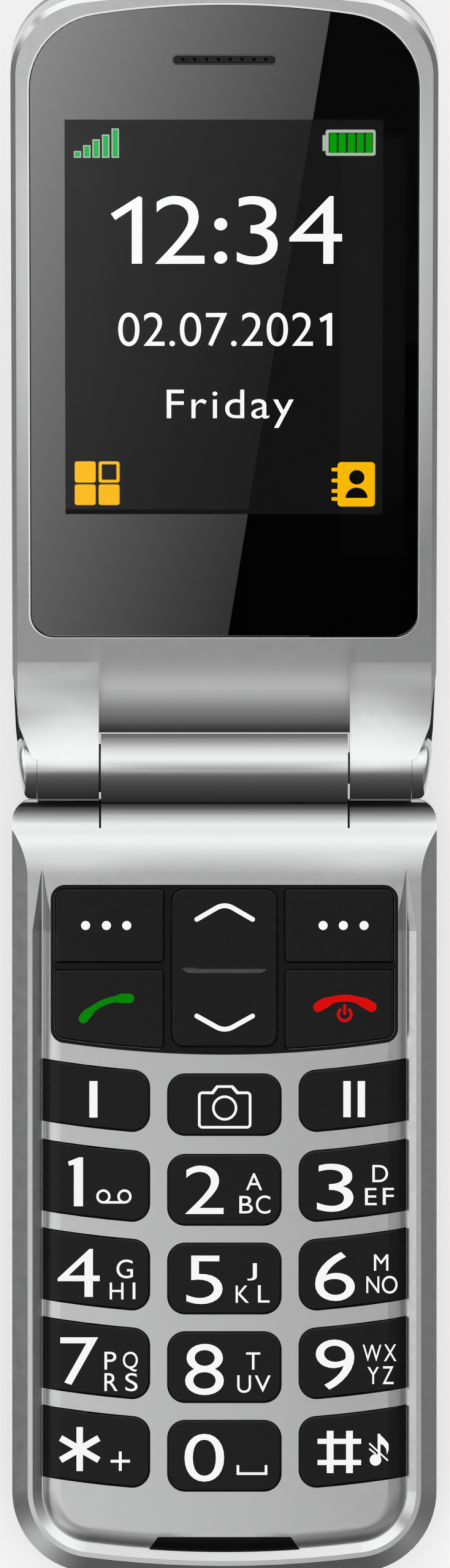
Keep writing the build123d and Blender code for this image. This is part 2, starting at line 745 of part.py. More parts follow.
def make_rear_housing():
    """The dark housing behind the split line, with the battery bay."""
    inner_plan = base_plan(cover_wall + cover_gap, cover_start - cover_gap)
    housing = rear_form() - cover_zone(cover_gap)
    housing += rise(inner_plan, cover_inner + cover_gap, cover_top + 2 * cover_gap)
    housing = housing - cover_rails(cover_start - cover_gap, base_length + wall, cover_gap)
    housing = housing - cover_tabs(cover_gap) + rear_lip()
    pocket = front_pocket_half_width
    pocket_start = cavity_start + cover_gap + 2 * lip_thickness
    housing -= box(-pocket, pocket, -front_pocket_end, -pocket_start, cover_inner, split)
    housing -= rise(tail_plan(), cover_inner + wall / 2, split + lip_height)
    side_outer = base_half_width - 2 * cover_wall - cover_rail_depth
    for side in (-1, 1):
        for y0, y1 in zip(screw_rows, screw_rows[1:]):
            far, near = 2 * boss_radius - y1, -y0 - 2 * boss_radius
            housing -= box(side * side_pocket_inner, side * side_outer, far, near, cover_inner + wall, split)
    head_top = cover_inner + cover_gap + screw_head_height + snug
    for x, y in case_screw_places():
        housing -= post(screw_head_radius + slip, x, y, cover_inner, head_top)
        housing -= post(screw_shank_radius + slip, x, y, cover_inner, split)
    roof_half = bay_half_width + bay_roof
    housing -= box(-bay_half_width, bay_half_width, -bay_end, -bay_start, cover_inner, split)
    housing += box(-roof_half, roof_half, -bay_end - bay_roof, bay_roof - bay_start, roof_bottom, roof_top)
    housing -= box(-sim_width / 2, sim_width / 2, -sim_start - sim_length, -sim_start, roof_bottom, roof_top)
    notch = contact_half_width + slip
    notch_floor = board_bottom - contact_height - slip
    housing -= box(-notch, notch, -bay_start - slip, -front_pocket_end, notch_floor, roof_top)
    for i in range(speaker_slots):
        x = speaker_x + (i - (speaker_slots - 1) / 2) * speaker_slot_pitch
        slot = Pos(x, -speaker_y) * Rot(0, 0, 90) * SlotOverall(speaker_slot_length, speaker_slot_width)
        housing -= rise(slot, rest_face, cover_inner)
    return housing - usb_tunnel()


# ---- base: pieces inside ------------------------------------------------------------------------
def make_panel(keys):
    """The glossy plate round the soft keys and the rocker."""
    panel = rise(panel_plan(), deck - panel_plate + snug, deck + panel_proud)
    faces = [keys[name][0] for name in soft_keys] + [rocker_plan()]
    return panel - [rise(grown(face, slip), deck_under, key_top) for face in faces]


def make_insert(groove):
    """The dark insert at the foot of the deck, with the microphone's hole."""
    insert = rise(insert_plan(), deck_under, deck) - groove
    return insert - post(insert_hole_radius, 0, -microphone_y, deck_under, deck)


def dome_places(keys):
    """The middle of every dome."""
    return [place for _, place in keys.values()] + rocker_places()


def make_keymat(keys):
    """The rubber sheet under the keys, open over every dome, with a bed for the rocker's rib."""
    middle = (mat_start + mat_end) / 2
    plan = Pos(0, -middle) * RectangleRounded(2 * mat_half_width, mat_end - mat_start, key_corner)
    mat = rise(plan, mat_bottom, mat_top)
    half = mat_hole / 2
    holes = [box(x - half, x + half, y - half, y + half, mat_bottom, mat_top) for x, y in dome_places(keys)]
    reach = rocker_half_width
    return mat - holes - rod(rocker_pivot_radius + snug, -reach, reach, rocker_y, flange_bottom)


def make_dome_sheet(keys):
    """The film of snap domes on the main board."""
    middle = (mat_start + mat_end) / 2
    film_top = board_top + dome_film
    plan = Pos(0, -middle) * Rectangle(2 * mat_half_width, mat_end - mat_start)
    film = rise(plan, board_top, film_top)
    dome = Pos(0, 0, film_top + dome_height / 2) * Cone(dome_radius, dome_radius / 2, dome_height)
    return film + [Pos(x, y) * dome for x, y in dome_places(keys)]


def make_main_board():
    """The main circuit board."""
    band = Pos(0, -base_length / 2) * Rectangle(2 * board_half_width, 2 * base_length)
    return rise(base_plan(board_inset, board_start) & band, board_bottom, board_top)


def make_shield():
    """The tin can over the radio, open towards the board."""
    bottom = board_bottom - shield_height
    can = box(-shield_half_width, shield_half_width, -shield_end, -shield_start, bottom, board_bottom)
    can = fillet(can.edges().filter_by(Axis.Z), shield_corner)
    return offset(can, -usb_wall / 2, openings=can.faces().sort_by(Axis.Z)[-1])


def make_sim_holder():
    """The card holder under the board, reached through the roof of the battery bay."""
    half = sim_width / 2 - slip
    far, near = slip - sim_start - sim_length, -sim_start - slip
    low, middle = board_bottom - sim_height, board_bottom - sim_height / 2
    holder = box(-half, half, far, near, low, board_bottom)
    card = box(-half / 2, half / 2, far, near - sim_step, low, middle)
    return holder - card - box(-half, sim_step - half, far, far + sim_step, low, board_bottom)


def make_battery_contacts():
    """The contact block that reaches through the bay's wall, with its sprung blades."""
    bottom = board_bottom - contact_height
    front = -bay_start
    block = box(-contact_half_width, contact_half_width, front, -contact_start, bottom, board_bottom)
    half = contact_blade_width / 2
    for i in range(contact_blades):
        x = (i - (contact_blades - 1) / 2) * contact_blade_pitch
        blade_top = roof_bottom - battery_play
        block += box(x - half, x + half, front - battery_play + snug, front, bottom + half, blade_top)
    return block


def make_battery():
    """The flat battery pack."""
    half_width = bay_half_width - battery_play
    far, near = battery_play - bay_end, -bay_start - battery_play
    pack = box(-half_width, half_width, far, near, cover_inner + battery_play, roof_bottom - battery_play)
    return fillet(pack.edges().filter_by(Axis.Y), battery_round)


def make_speaker():
    """The loudspeaker, which faces the slots in the back."""
    bottom = cover_inner + snug
    place = Pos(speaker_x, -speaker_y)
    plan = RectangleRounded(speaker_length, speaker_width, speaker_corner)
    dish = SlotOverall(speaker_length - 2 * speaker_rim, speaker_width - 2 * speaker_rim)
    body = rise(place * plan, bottom, bottom + speaker_height)
    return body - rise(place * dish, bottom, bottom + speaker_dish)


def make_motor():
    """The vibration motor with its lopsided weight."""
    z = cover_inner + motor_radius + snug
    r = motor_radius
    start = motor_x + motor_length + r / 4
    end = start + motor_weight_length
    weight = rod(r, start, end, -motor_y, z) - box(start, end, -motor_y - r, r - motor_y, z + r / 4, z + r)
    shaft = rod(r / 5, motor_x, end, -motor_y, z)
    return rod(r, motor_x, motor_x + motor_length, -motor_y, z) + weight + shaft


def make_usb_port():
    """The charging port: a drawn shell round a tongue."""
    plane = Plane(origin=(0, -usb_face, usb_z), z_dir=(0, -1, 0), x_dir=(1, 0, 0))
    outer_corner = usb_corner - slip
    outer = RectangleRounded(2 * usb_half_width, usb_height, outer_corner)
    inner_width, inner_height = 2 * (usb_half_width - usb_wall), usb_height - 2 * usb_wall
    inner = RectangleRounded(inner_width, inner_height, outer_corner - usb_wall)
    shell = extrude(plane * outer, usb_depth, dir=(0, 1, 0))
    shell -= extrude(plane * inner, usb_depth - usb_tongue_sink, dir=(0, 1, 0))
    half, thick = usb_half_width - 4 * usb_wall, usb_tongue / 2
    near, far = usb_depth - usb_face, usb_tongue_sink - usb_face
    return shell + box(-half, half, far, near, usb_z - thick, usb_z + thick)


def make_antenna():
    """The antenna carrier in the tail, round the charging port."""
    bottom = cover_inner + wall / 2 + snug
    top = bottom + antenna_height
    block = rise(tail_plan(antenna_play), bottom, top)
    return block - box(-antenna_notch, antenna_notch, -base_length, -antenna_notch_start, bottom, top)


def make_case_screws():
    """The screws that join the two housings of the base."""
    bottom = cover_inner + cover_gap
    neck, tip = bottom + screw_head_height, split + boss_height - wall / 2
    screws = []
    for x, y in case_screw_places():
        screw = post(screw_head_radius, x, y, bottom, neck) + post(screw_shank_radius, x, y, neck, tip)
        reach, half = screw_head_radius - screw_slot, screw_slot / 2
        screw -= box(x - reach, x + reach, y - half, y + half, bottom, bottom + screw_slot)
        screws.append(screw.solid())
    return Compound(screws)


# ---- hinge --------------------------------------------------------------------------------------
def make_capsule():
    """The sprung cam capsule pushed into the barrel."""
    can = rod(barrel_bore - snug, capsule_start, capsule_end)
    socket = barrel_bore - snug - capsule_wall
    return can - rod(socket, capsule_end - shaft_hub_length - snug, capsule_end)


def make_cam_shaft():
    """The shaft that turns in the capsule and keys into the right knuckle."""
    hub = rod(barrel_bore - 2 * snug - capsule_wall, capsule_end - shaft_hub_length, capsule_end)
    half = shaft_square / 2
    return hub + box(capsule_end, knuckle_start + shaft_reach, -half, half, -half, half)


def make_bush():
    """The hollow pivot on the left, which lets the ribbon cable through."""
    tube = rod(barrel_bore - snug, -knuckle_start - bush_in_knuckle, bush_in_barrel - barrel_half_length)
    return tube - rod(bush_bore, -base_half_width, 0)


def make_ribbon():
    """The ribbon cable, rolled inside the hinge and led under the bridge to the main board."""
    inner = ribbon_roll - 2 * ribbon_thickness
    roll_end = -knuckle_start - bush_in_knuckle
    roll = rod(ribbon_roll, roll_end, 0) - rod(inner, roll_end, 0)
    low, edge = board_bottom - ribbon_thickness, ribbon_thickness - ribbon_roll
    down = box(-ribbon_width, 0, -ribbon_roll, edge, low, 0)
    along = box(-ribbon_width, 0, -board_start - ribbon_landing, edge, low, board_bottom)
    return roll + down + along


def make_end_cap(side):
    """The bowed cap on the outer end of a knuckle, which leans towards the base."""
    lean = math.radians(end_cap_lean)
    centre = Pos(end_cap_height - end_cap_bow * math.cos(lean), end_cap_bow * math.sin(lean), 0)
    ball = centre * Rot(0, 0, 180) * Sphere(end_cap_bow)
    cap = rod(knuckle_radius - snug, 0, 2 * end_cap_height) & ball
    cap = fillet(cap.faces().sort_by(Axis.X)[-1].edges(), end_cap_round)
    cap = Pos(knuckle_end + snug, 0, 0) * (cap + rod(end_cap_spigot, -end_cap_spigot_length, 0))
    return cap if side > 0 else mirror(cap, Plane.YZ)


# ---- lid ----------------------------------------------------------------------------------------
def lid_profile():
    """Side view of the lid: knuckle, hollow ramp, face, outer face and heel."""
    share = knuckle_radius / (knuckle_radius + ramp_radius)
    crest = (ramp_y * share, (ramp_radius - lid_gap) * share)
    heel = math.radians(heel_angle)
    leave = (knuckle_radius * math.cos(heel), -knuckle_radius * math.sin(heel))
    heel_y = leave[0] - (leave[1] - lid_outer) * math.tan(heel)
    far = 2 * lid_length
    foot = (ramp_y, lid_face)
    rest = Polyline(crest, (0, 0), leave, (heel_y, lid_outer), (far, lid_outer), (far, lid_face), foot)
    face = make_face(TangentArc(foot, crest, tangent=(-1, 0)) + rest)
    corner = [v for v in face.vertices() if abs(v.X - heel_y) < 1e-6]
    return fillet(corner, heel_round) + Circle(knuckle_radius)


def barrel_room():
    """The room for the barrel, with the roll of the lid's middle down behind it, as a cutter."""
    head = (lip_start, lid_face)
    foot = (lip_start - lip_radius, lid_face - lip_radius)
    low, high, near = 2 * lid_outer, 2 * knuckle_radius, -2 * knuckle_radius
    rest = Polyline(foot, (foot[0], low), (near, low), (near, high), (ramp_y, high), (ramp_y, lid_face), head)
    return across(make_face(TangentArc(head, foot, tangent=(-1, 0)) + rest), -knuckle_start, knuckle_start)


def lid_form():
    """Outer form of the whole lid."""
    slope_foot = lid_face - lid_edge_slope
    body = rise(lid_plan(), lid_outer, slope_foot)
    outer_face = body.faces().sort_by(Axis.Z)[0]
    rim = [e for e in outer_face.edges() if e.center().Y > -knuckle_radius]
    body = fillet(rim, lid_back_round)
    upper = lid_plan(lid_edge_slope)
    body = body + tapered(lid_plan(), slope_foot, upper, lid_face) + rise(upper, lid_face, knuckle_radius)
    return (body & across(lid_profile(), -lid_half_width, lid_half_width)) - barrel_room()


def lid_screw_places():
    """The places of the screws under the display lens, in the corners of its ledge."""
    inset = lens_ledge_width
    half_width = lid_half_width - lens_inset - inset
    inward = lid_boss_radius / 2
    corner = lens_corner - inset
    bow = lens_bow - inset
    corner_x = half_width - corner
    end = lid_length - lens_end_inset - inset
    corner_y = end - bow + math.sqrt((bow - corner) ** 2 - corner_x**2)
    diagonal = (corner - inward) / math.sqrt(2)
    near = (half_width - inward, lens_near + inset + inward)
    far = (corner_x + diagonal, corner_y + diagonal)
    return [(side * x, y) for x, y in (near, far) for side in (-1, 1)]


def make_lid_inner_housing():
    """The silver frame round the display, with the knuckles of the hinge."""
    waist = [(ear_half_width, ear_y), (knuckle_end, ear_foot)]
    housing = lid_form() & rise(waisted_lid_plan(waist), lid_seam, knuckle_radius)
    housing = housing + [rod(knuckle_radius, side * knuckle_start, side * knuckle_end) for side in (-1, 1)]
    housing -= [rod(knuckle_radius, side * knuckle_end, side * base_half_width) for side in (-1, 1)]
    housing -= tapered(lens_plan(-snug), lens_top, lens_plan(-bezel_chamfer), lid_face)
    housing -= rise(lens_plan(-snug), lens_under, lens_top)
    housing -= rise(lens_plan(lens_ledge_width), lid_seam, lens_under)
    housing -= rise(lid_plan(wall, lid_cavity_start), lid_seam, ledge_under)
    top = lens_under - snug
    for x, y in lid_screw_places():
        housing += post(lid_boss_radius, x, y, lid_seam, top)
        housing -= post(lid_screw_head_radius + snug, x, y, top - lid_screw_head_height, lens_under)
        housing -= post(screw_shank_radius + snug, x, y, lid_seam, lens_under)
    half = shaft_square / 2 + snug
    housing -= box(knuckle_start, knuckle_start + shaft_reach + snug, -half, half, -half, half)
    housing -= rod(barrel_bore, -knuckle_start - bush_in_knuckle - snug, -knuckle_start)
    spigot_end = knuckle_end - end_cap_spigot_length
    return housing - [rod(end_cap_spigot + snug, side * spigot_end, side * knuckle_end) for side in (-1, 1)]


def outer_window():
    """Plan of the outer display's window."""
    plan = RectangleRounded(2 * outer_lens_half_width, outer_lens_length, outer_lens_corner)
    return Pos(0, outer_lens_y) * plan


def camera_plan():
    """Plan of the window over the camera and its lamp."""
    return Pos(0, camera_y) * SlotOverall(2 * camera_window_half_length, 2 * camera_window_radius)


def make_lid_outer_housing():
    """The outer shell of the lid."""
    head, foot = lid_half_width - shell_ear_inset, lid_half_width - shell_ear_foot_inset
    waist = [(head, shell_ear_y), (foot, 0.0)]
    housing = lid_form() & rise(waisted_lid_plan(waist), lid_outer, lid_seam - snug)
    housing -= rise(lid_plan(wall, shell_cavity_start), lid_floor, lid_seam)
    for x, y in lid_screw_places():
        housing += post(lid_boss_radius, x, y, lid_floor - wall / 2, lid_seam - snug)
        housing -= post(screw_shank_radius + snug, x, y, lid_floor, lid_seam)
    housing -= rise(grown(outer_window(), snug), lid_outer, lid_outer + outer_lens_thickness)
    half_x, half_y = outer_display_half_width + snug, outer_display_half_length + snug
    housing -= box(-half_x, half_x, outer_lens_y - half_y, outer_lens_y + half_y, lid_outer, lid_floor)
    housing -= rise(grown(camera_plan(), snug), lid_outer, lid_outer + camera_window_thickness)
    housing -= post(camera_barrel_radius + snug, -camera_offset, camera_y, lid_outer, lid_floor)
    return housing - post(lamp_radius, camera_offset, camera_y, lid_outer, lid_floor)


def make_display_lens():
    """The display lens, with its slot for the earpiece."""
    lens = rise(lens_plan(), lens_under, lens_top)
    lens = chamfer(lens.faces().sort_by(Axis.Z)[-1].edges(), lens_edge)
    return lens - rise(Pos(0, slot_y) * SlotOverall(slot_length, slot_width), lens_under, lens_top)


def make_display():
    """The display module with its driver tail."""
    half = display_half_width + display_border
    near, far = display_start - display_tail, display_end + display_border
    glass = box(-half, half, near, far, display_under, display_top)
    step = display_top - display_cover_glass
    return glass - box(-half, half, near, display_start - display_border, step, display_top)


def make_bracket():
    """The pressed tray that holds the display."""
    half = display_half_width + display_border + snug
    near, far = display_start - display_tail - snug, display_end + display_border + snug
    rim, top = bracket_thickness, display_under + bracket_margin
    tray = box(-half - rim, half + rim, near - rim, far + rim, bracket_under, top)
    return tray - box(-half, half, near, far, display_under - snug, top)


def make_grille():
    """The earpiece's mesh, set into the slot of the lens."""
    top = lens_top - grille_sink
    plan = Pos(0, slot_y) * SlotOverall(slot_length - 2 * snug, slot_width - 2 * snug)
    pitch = (slot_length - slot_width) / grille_holes
    places = [(i - (grille_holes - 1) / 2) * pitch for i in range(grille_holes)]
    holes = [post(grille_hole_radius, x, slot_y, lens_under, top) for x in places]
    return rise(plan, lens_under, top) - holes


def make_receiver():
    """The earpiece's speaker, behind the lens."""
    top = lens_under - snug
    plan = Pos(0, slot_y) * RectangleRounded(receiver_length, receiver_width, receiver_corner)
    return rise(plan, top - receiver_height, top)


def make_lid_board():
    """The lid's circuit board."""
    half = lid_board_half_width
    return box(-half, half, lid_board_start, lid_board_end, lid_board_under, lid_board_top)


def make_outer_lens():
    """The window of the outer display."""
    lens = rise(outer_window(), lid_outer, lid_outer + outer_lens_thickness)
    return chamfer(lens.faces().sort_by(Axis.Z)[0].edges(), lens_edge)


def make_outer_display():
    """The small display behind the outer window."""
    bottom = lid_outer + outer_lens_thickness + snug
    half_x, half_y = outer_display_half_width, outer_display_half_length
    near, far = outer_lens_y - half_y, outer_lens_y + half_y
    return box(-half_x, half_x, near, far, bottom, bottom + outer_display_height)


def make_camera_window():
    """The window over the camera and its lamp."""
    window = rise(camera_plan(), lid_outer, lid_outer + camera_window_thickness)
    return chamfer(window.faces().sort_by(Axis.Z)[0].edges(), lens_edge)


def make_camera():
    """The camera module."""
    half = camera_block / 2
    foot, head = lid_floor + snug, lid_floor + camera_block_height
    start = lid_outer + camera_window_thickness + snug
    block = box(-camera_offset - half, half - camera_offset, camera_y - half, camera_y + half, foot, head)
    block += post(camera_barrel_radius, -camera_offset, camera_y, start, foot)
    return block - post(camera_barrel_radius / 2, -camera_offset, camera_y, start, start + camera_sink)


def make_magnet():
    """The magnet that tells the base that the lid is closed."""
    return post(magnet_radius, magnet_x, magnet_y, lid_floor, lid_floor + magnet_height)


def make_lid_screws():
    """The screws that join the lid's housings, under the lens."""
    top = lens_under - snug
    neck, tip = top - lid_screw_head_height, lid_floor + wall / 2
    screws = []
    for x, y in lid_screw_places():
        screw = post(lid_screw_head_radius, x, y, neck, top) + post(screw_shank_radius, x, y, tip, neck)
        reach, half = lid_screw_head_radius - screw_slot, screw_slot / 2
        screw -= box(x - reach, x + reach, y - half, y + half, top - lid_screw_head_height / 2, top)
        screws.append(screw.solid())
    return Compound(screws)


# ---- assembly -----------------------------------------------------------------------------------
def base_nodes():
    """Every piece of the base, in the hinge frame."""
    keys = key_table()
    groove = groove_cut()
    key_groove = groove_cut(key_proud)
    nodes = {name: make_key(face, place, key_groove) for name, (face, place) in keys.items()}
    nodes["key_rocker"] = make_rocker()
    nodes["front_housing"] = make_front_housing(keys, groove)
    nodes["rear_housing"] = make_rear_housing()
    nodes["battery_cover"] = make_battery_cover()
    nodes["keypad_panel"] = make_panel(keys)
    nodes["microphone_insert"] = make_insert(groove)
    nodes["keymat"] = make_keymat(keys)
    nodes["dome_sheet"] = make_dome_sheet(keys)
    nodes["main_board"] = make_main_board()
    nodes["radio_shield"] = make_shield()
    nodes["sim_holder"] = make_sim_holder()
    nodes["battery_contacts"] = make_battery_contacts()
    nodes["battery"] = make_battery()
    nodes["loudspeaker"] = make_speaker()
    nodes["vibration_motor"] = make_motor()
    nodes["charging_port"] = make_usb_port()
    nodes["antenna_carrier"] = make_antenna()
    nodes["microphone"] = post(microphone_radius, 0, -microphone_y, board_top, board_top + microphone_height)
    nodes["case_screws"] = make_case_screws()
    nodes["hinge_capsule"] = make_capsule()
    nodes["ribbon_cable"] = make_ribbon()
    return nodes


def lid_nodes():
    """Every piece of the lid, in the hinge frame with the lid flat."""
    return {
        "lid_inner_housing": make_lid_inner_housing(),
        "lid_outer_housing": make_lid_outer_housing(),
        "display_lens": make_display_lens(),
        "display_module": make_display(),
        "display_bracket": make_bracket(),
        "earpiece_grille": make_grille(),
        "earpiece_speaker": make_receiver(),
        "lid_board": make_lid_board(),
        "outer_display_lens": make_outer_lens(),
        "outer_display": make_outer_display(),
        "camera_window": make_camera_window(),
        "camera_module": make_camera(),
        "lid_magnet": make_magnet(),
        "lid_screws": make_lid_screws(),
        "hinge_cam_shaft": make_cam_shaft(),
        "hinge_bush": make_bush(),
        "hinge_cap_left": make_end_cap(-1),
        "hinge_cap_right": make_end_cap(1),
    }


def main():
    """Write every piece in place."""
    os.makedirs("parts", exist_ok=True)
    hinge = Pos(0, base_length / 2, base_thickness)
    tilted = hinge * Rot(lid_tilt, 0, 0)
    for name, shape in base_nodes().items():
        export_step(hinge * shape, f"parts/{name}.step")
    for name, shape in lid_nodes().items():
        export_step(tilted * shape, f"parts/{name}.step")


main()
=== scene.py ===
import json
import math

import bmesh
import bpy
from mathutils import Matrix, Vector


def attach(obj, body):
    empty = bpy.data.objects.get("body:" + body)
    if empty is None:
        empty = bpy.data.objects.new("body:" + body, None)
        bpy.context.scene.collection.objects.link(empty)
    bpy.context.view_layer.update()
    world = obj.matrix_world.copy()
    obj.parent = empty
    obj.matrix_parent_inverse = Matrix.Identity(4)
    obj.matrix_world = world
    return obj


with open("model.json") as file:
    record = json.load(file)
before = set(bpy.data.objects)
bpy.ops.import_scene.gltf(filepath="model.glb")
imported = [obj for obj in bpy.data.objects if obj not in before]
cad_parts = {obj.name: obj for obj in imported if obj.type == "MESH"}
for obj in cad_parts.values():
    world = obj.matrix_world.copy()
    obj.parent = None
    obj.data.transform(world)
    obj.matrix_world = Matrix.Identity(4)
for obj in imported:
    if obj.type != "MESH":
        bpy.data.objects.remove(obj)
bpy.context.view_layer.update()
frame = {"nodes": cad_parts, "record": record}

MM = 0.001
PICTURE_HEIGHT, CENTRE_X, CENTRE_Y = 2560, 367, 1280  # of the 734 x 2560 picture, in its pixels
PIXEL = 0.07504  # millimetres of the phone in one of its pixels
HINGE_PIXEL = (366, 1254)  # the pixel that the middle of the hinge axis falls on
HINGE = Vector((0, 49.9, 11.0))  # the same place in the frame, in millimetres, as all lengths here
TILT = math.radians(18)  # how far the open lid leans up
KEY_LEVEL = 11.05  # height of the keys' tops
ROLL_START = 19.9  # from here outwards the deck and the keys roll down
LID_FACE, LENS_TOP, DISPLAY_LEVEL = -0.45, -0.65, -1.8  # heights in the lid, from the hinge axis
PRINT_LEVEL = LENS_TOP - 0.14
KEY_INK, KEY_INK_LAYER = 0.015, 0.002  # how far ink stands off a keycap, and each further mark off the last
GLOW, GLOW_LAYER = 0.008, 0.001  # the same for the marks of the display
MARK, FILLING = 0.006, 0.014  # how far marks lie above the display's ground, and what fills them
FIGURE = 0.016
BASE = Matrix.Translation(HINGE)
LID = BASE @ Matrix.Rotation(TILT, 4, "X")


# ---- camera and places --------------------------------------------------------------------------
AIM = HINGE + Vector((CENTRE_X - HINGE_PIXEL[0], HINGE_PIXEL[1] - CENTRE_Y, 0)) * PIXEL  # in the picture's middle
CAMERA_BACK = 2560  # from the camera to AIM; with a much longer lens the other views would reach past its range
CAMERA_LEAN = math.radians(1.6)
CAMERA_AT = AIM + CAMERA_BACK * Vector((0, math.sin(CAMERA_LEAN), math.cos(CAMERA_LEAN)))
CAMERA_UP = Vector((0, math.cos(CAMERA_LEAN), -math.sin(CAMERA_LEAN)))
LID_NORMAL = Vector((0, -math.sin(TILT), math.cos(TILT)))
LID_GLANCE = Vector((0, -math.sin(2 * TILT), math.cos(2 * TILT)))  # where the open lid mirrors the camera


def sighted(px, py, place, normal):
    """The spot that a pixel shows of a plane, given by a place on it and its normal."""
    seen = AIM + Vector(((px - CENTRE_X) * PIXEL, 0, 0)) + CAMERA_UP * ((CENTRE_Y - py) * PIXEL)
    ray = seen - CAMERA_AT
    return CAMERA_AT + ray * ((place - CAMERA_AT).dot(normal) / ray.dot(normal))


def on_base(px, py):
    """A pixel of the keypad, as x and y in the hinge frame."""
    spot = sighted(px, py, Vector((0, 0, KEY_LEVEL)), Vector((0, 0, 1)))
    return spot.x, spot.y - HINGE.y


def on_lid(px, py, level=DISPLAY_LEVEL):
    """A pixel of the display, as x and y in the lid at a level."""
    spot = LID.inverted() @ sighted(px, py, LID @ Vector((0, 0, level)), LID_NORMAL)
    return spot.x, spot.y


# ---- node materials -----------------------------------------------------------------------------
def surface(name, colour, rough, metallic=0.0, coat=0.0, grain=900.0, bump=0.05, depth=0.02, tint=0.04,
            spread=0.06, stretch=(1, 1, 1), specular=0.5):
    """A painted, moulded or metal surface: fine grain in the normal, patchy gloss and a drift of tone."""
    material = bpy.data.materials.new(name)
    material.use_nodes = True
    tree = material.node_tree
    node, link = tree.nodes.new, tree.links.new
    shader = tree.nodes["Principled BSDF"]
    shader.inputs["Metallic"].default_value = metallic
    shader.inputs["Coat Weight"].default_value = coat
    shader.inputs["Coat Roughness"].default_value = 0.06
    shader.inputs["Specular IOR Level"].default_value = specular
    coords = node("ShaderNodeTexCoord")
    mapping = node("ShaderNodeMapping")
    mapping.inputs["Scale"].default_value = stretch
    link(coords.outputs["Object"], mapping.inputs["Vector"])
    fine = node("ShaderNodeTexNoise")
    fine.inputs["Scale"].default_value = grain
    fine.inputs["Detail"].default_value = 4
    link(mapping.outputs["Vector"], fine.inputs["Vector"])
    relief = node("ShaderNodeBump")
    relief.inputs["Strength"].default_value = bump
    relief.inputs["Distance"].default_value = depth * MM
    link(fine.outputs["Fac"], relief.inputs["Height"])
    link(relief.outputs["Normal"], shader.inputs["Normal"])
    broad = node("ShaderNodeTexNoise")
    broad.inputs["Scale"].default_value = 60
    broad.inputs["Detail"].default_value = 3
    link(coords.outputs["Object"], broad.inputs["Vector"])
    tone = node("ShaderNodeMix")
    tone.data_type = "RGBA"
    tone.inputs["A"].default_value = (*[c * (1 - tint) for c in colour], 1)
    tone.inputs["B"].default_value = (*[min(1, c * (1 + tint)) for c in colour], 1)
    link(broad.outputs["Fac"], tone.inputs["Factor"])
    link(tone.outputs["Result"], shader.inputs["Base Color"])
    gloss = node("ShaderNodeMapRange")
    gloss.inputs["From Min"].default_value = 0.3
    gloss.inputs["From Max"].default_value = 0.7
    gloss.inputs["To Min"].default_value = max(0.02, rough - spread)
    gloss.inputs["To Max"].default_value = min(1.0, rough + spread)
    link(fine.outputs["Fac"], gloss.inputs["Value"])
    link(gloss.outputs["Result"], shader.inputs["Roughness"])
    return material


def math_node(tree, kind, first, second):
    node = tree.nodes.new("ShaderNodeMath")
    node.operation = kind
    for socket, value in zip(node.inputs, (first, second)):
        if isinstance(value, (int, float)):
            socket.default_value = value
        else:
            tree.links.new(value, socket)
    return node.outputs[0]


def faded(tree, value, start, end, low, high, clamp=False):
    """A straight change from low to high between two values."""
    node = tree.nodes.new("ShaderNodeMapRange")
    node.clamp = clamp
    for label, number in (("From Min", start), ("From Max", end), ("To Min", low), ("To Max", high)):
        node.inputs[label].default_value = number
    tree.links.new(value, node.inputs["Value"])
    return node.outputs[0]


def polished(material):
    """Takes the relief off a surface and gives it a mirror's gloss."""
    shader = material.node_tree.nodes["Principled BSDF"]
    for name in ("Normal", "Roughness"):
        material.node_tree.links.remove(shader.inputs[name].links[0])
    shader.inputs["Roughness"].default_value = 0.0
    return shader


def glass(name, colour):
    """A clear window, faintly smoked, with a coating that takes most of the glare."""
    material = surface(name, colour, 0.0, tint=0.01)
    shader = polished(material)
    shader.inputs["Transmission Weight"].default_value = 1.0
    shader.inputs["IOR"].default_value = 1.1
    return material


def back_print(name, colour):
    """Glossy ink on the back of a window."""
    material = surface(name, colour, 0.0, tint=0.02, coat=1.0, specular=1.0)
    polished(material).inputs["Coat Roughness"].default_value = 0.0
    return material


def lit(name, colour, strength=1.0):
    """The glow of the display, with the faint unevenness of its backlight."""
    material = surface(name, (0.001, 0.001, 0.001), 0.0, specular=0.19)
    tree = material.node_tree
    shader = polished(material)
    noise = tree.nodes.new("ShaderNodeTexNoise")
    noise.inputs["Scale"].default_value = 40
    glow = tree.nodes.new("ShaderNodeMix")
    glow.data_type = "RGBA"
    glow.inputs["A"].default_value = (*[c * 0.97 for c in colour], 1)
    glow.inputs["B"].default_value = (*colour, 1)
    coords = tree.nodes.new("ShaderNodeTexCoord")
    tree.links.new(coords.outputs["Object"], noise.inputs["Vector"])
    tree.links.new(noise.outputs["Fac"], glow.inputs["Factor"])
    tree.links.new(glow.outputs["Result"], shader.inputs["Emission Color"])
    shader.inputs["Emission Strength"].default_value = strength
    return material


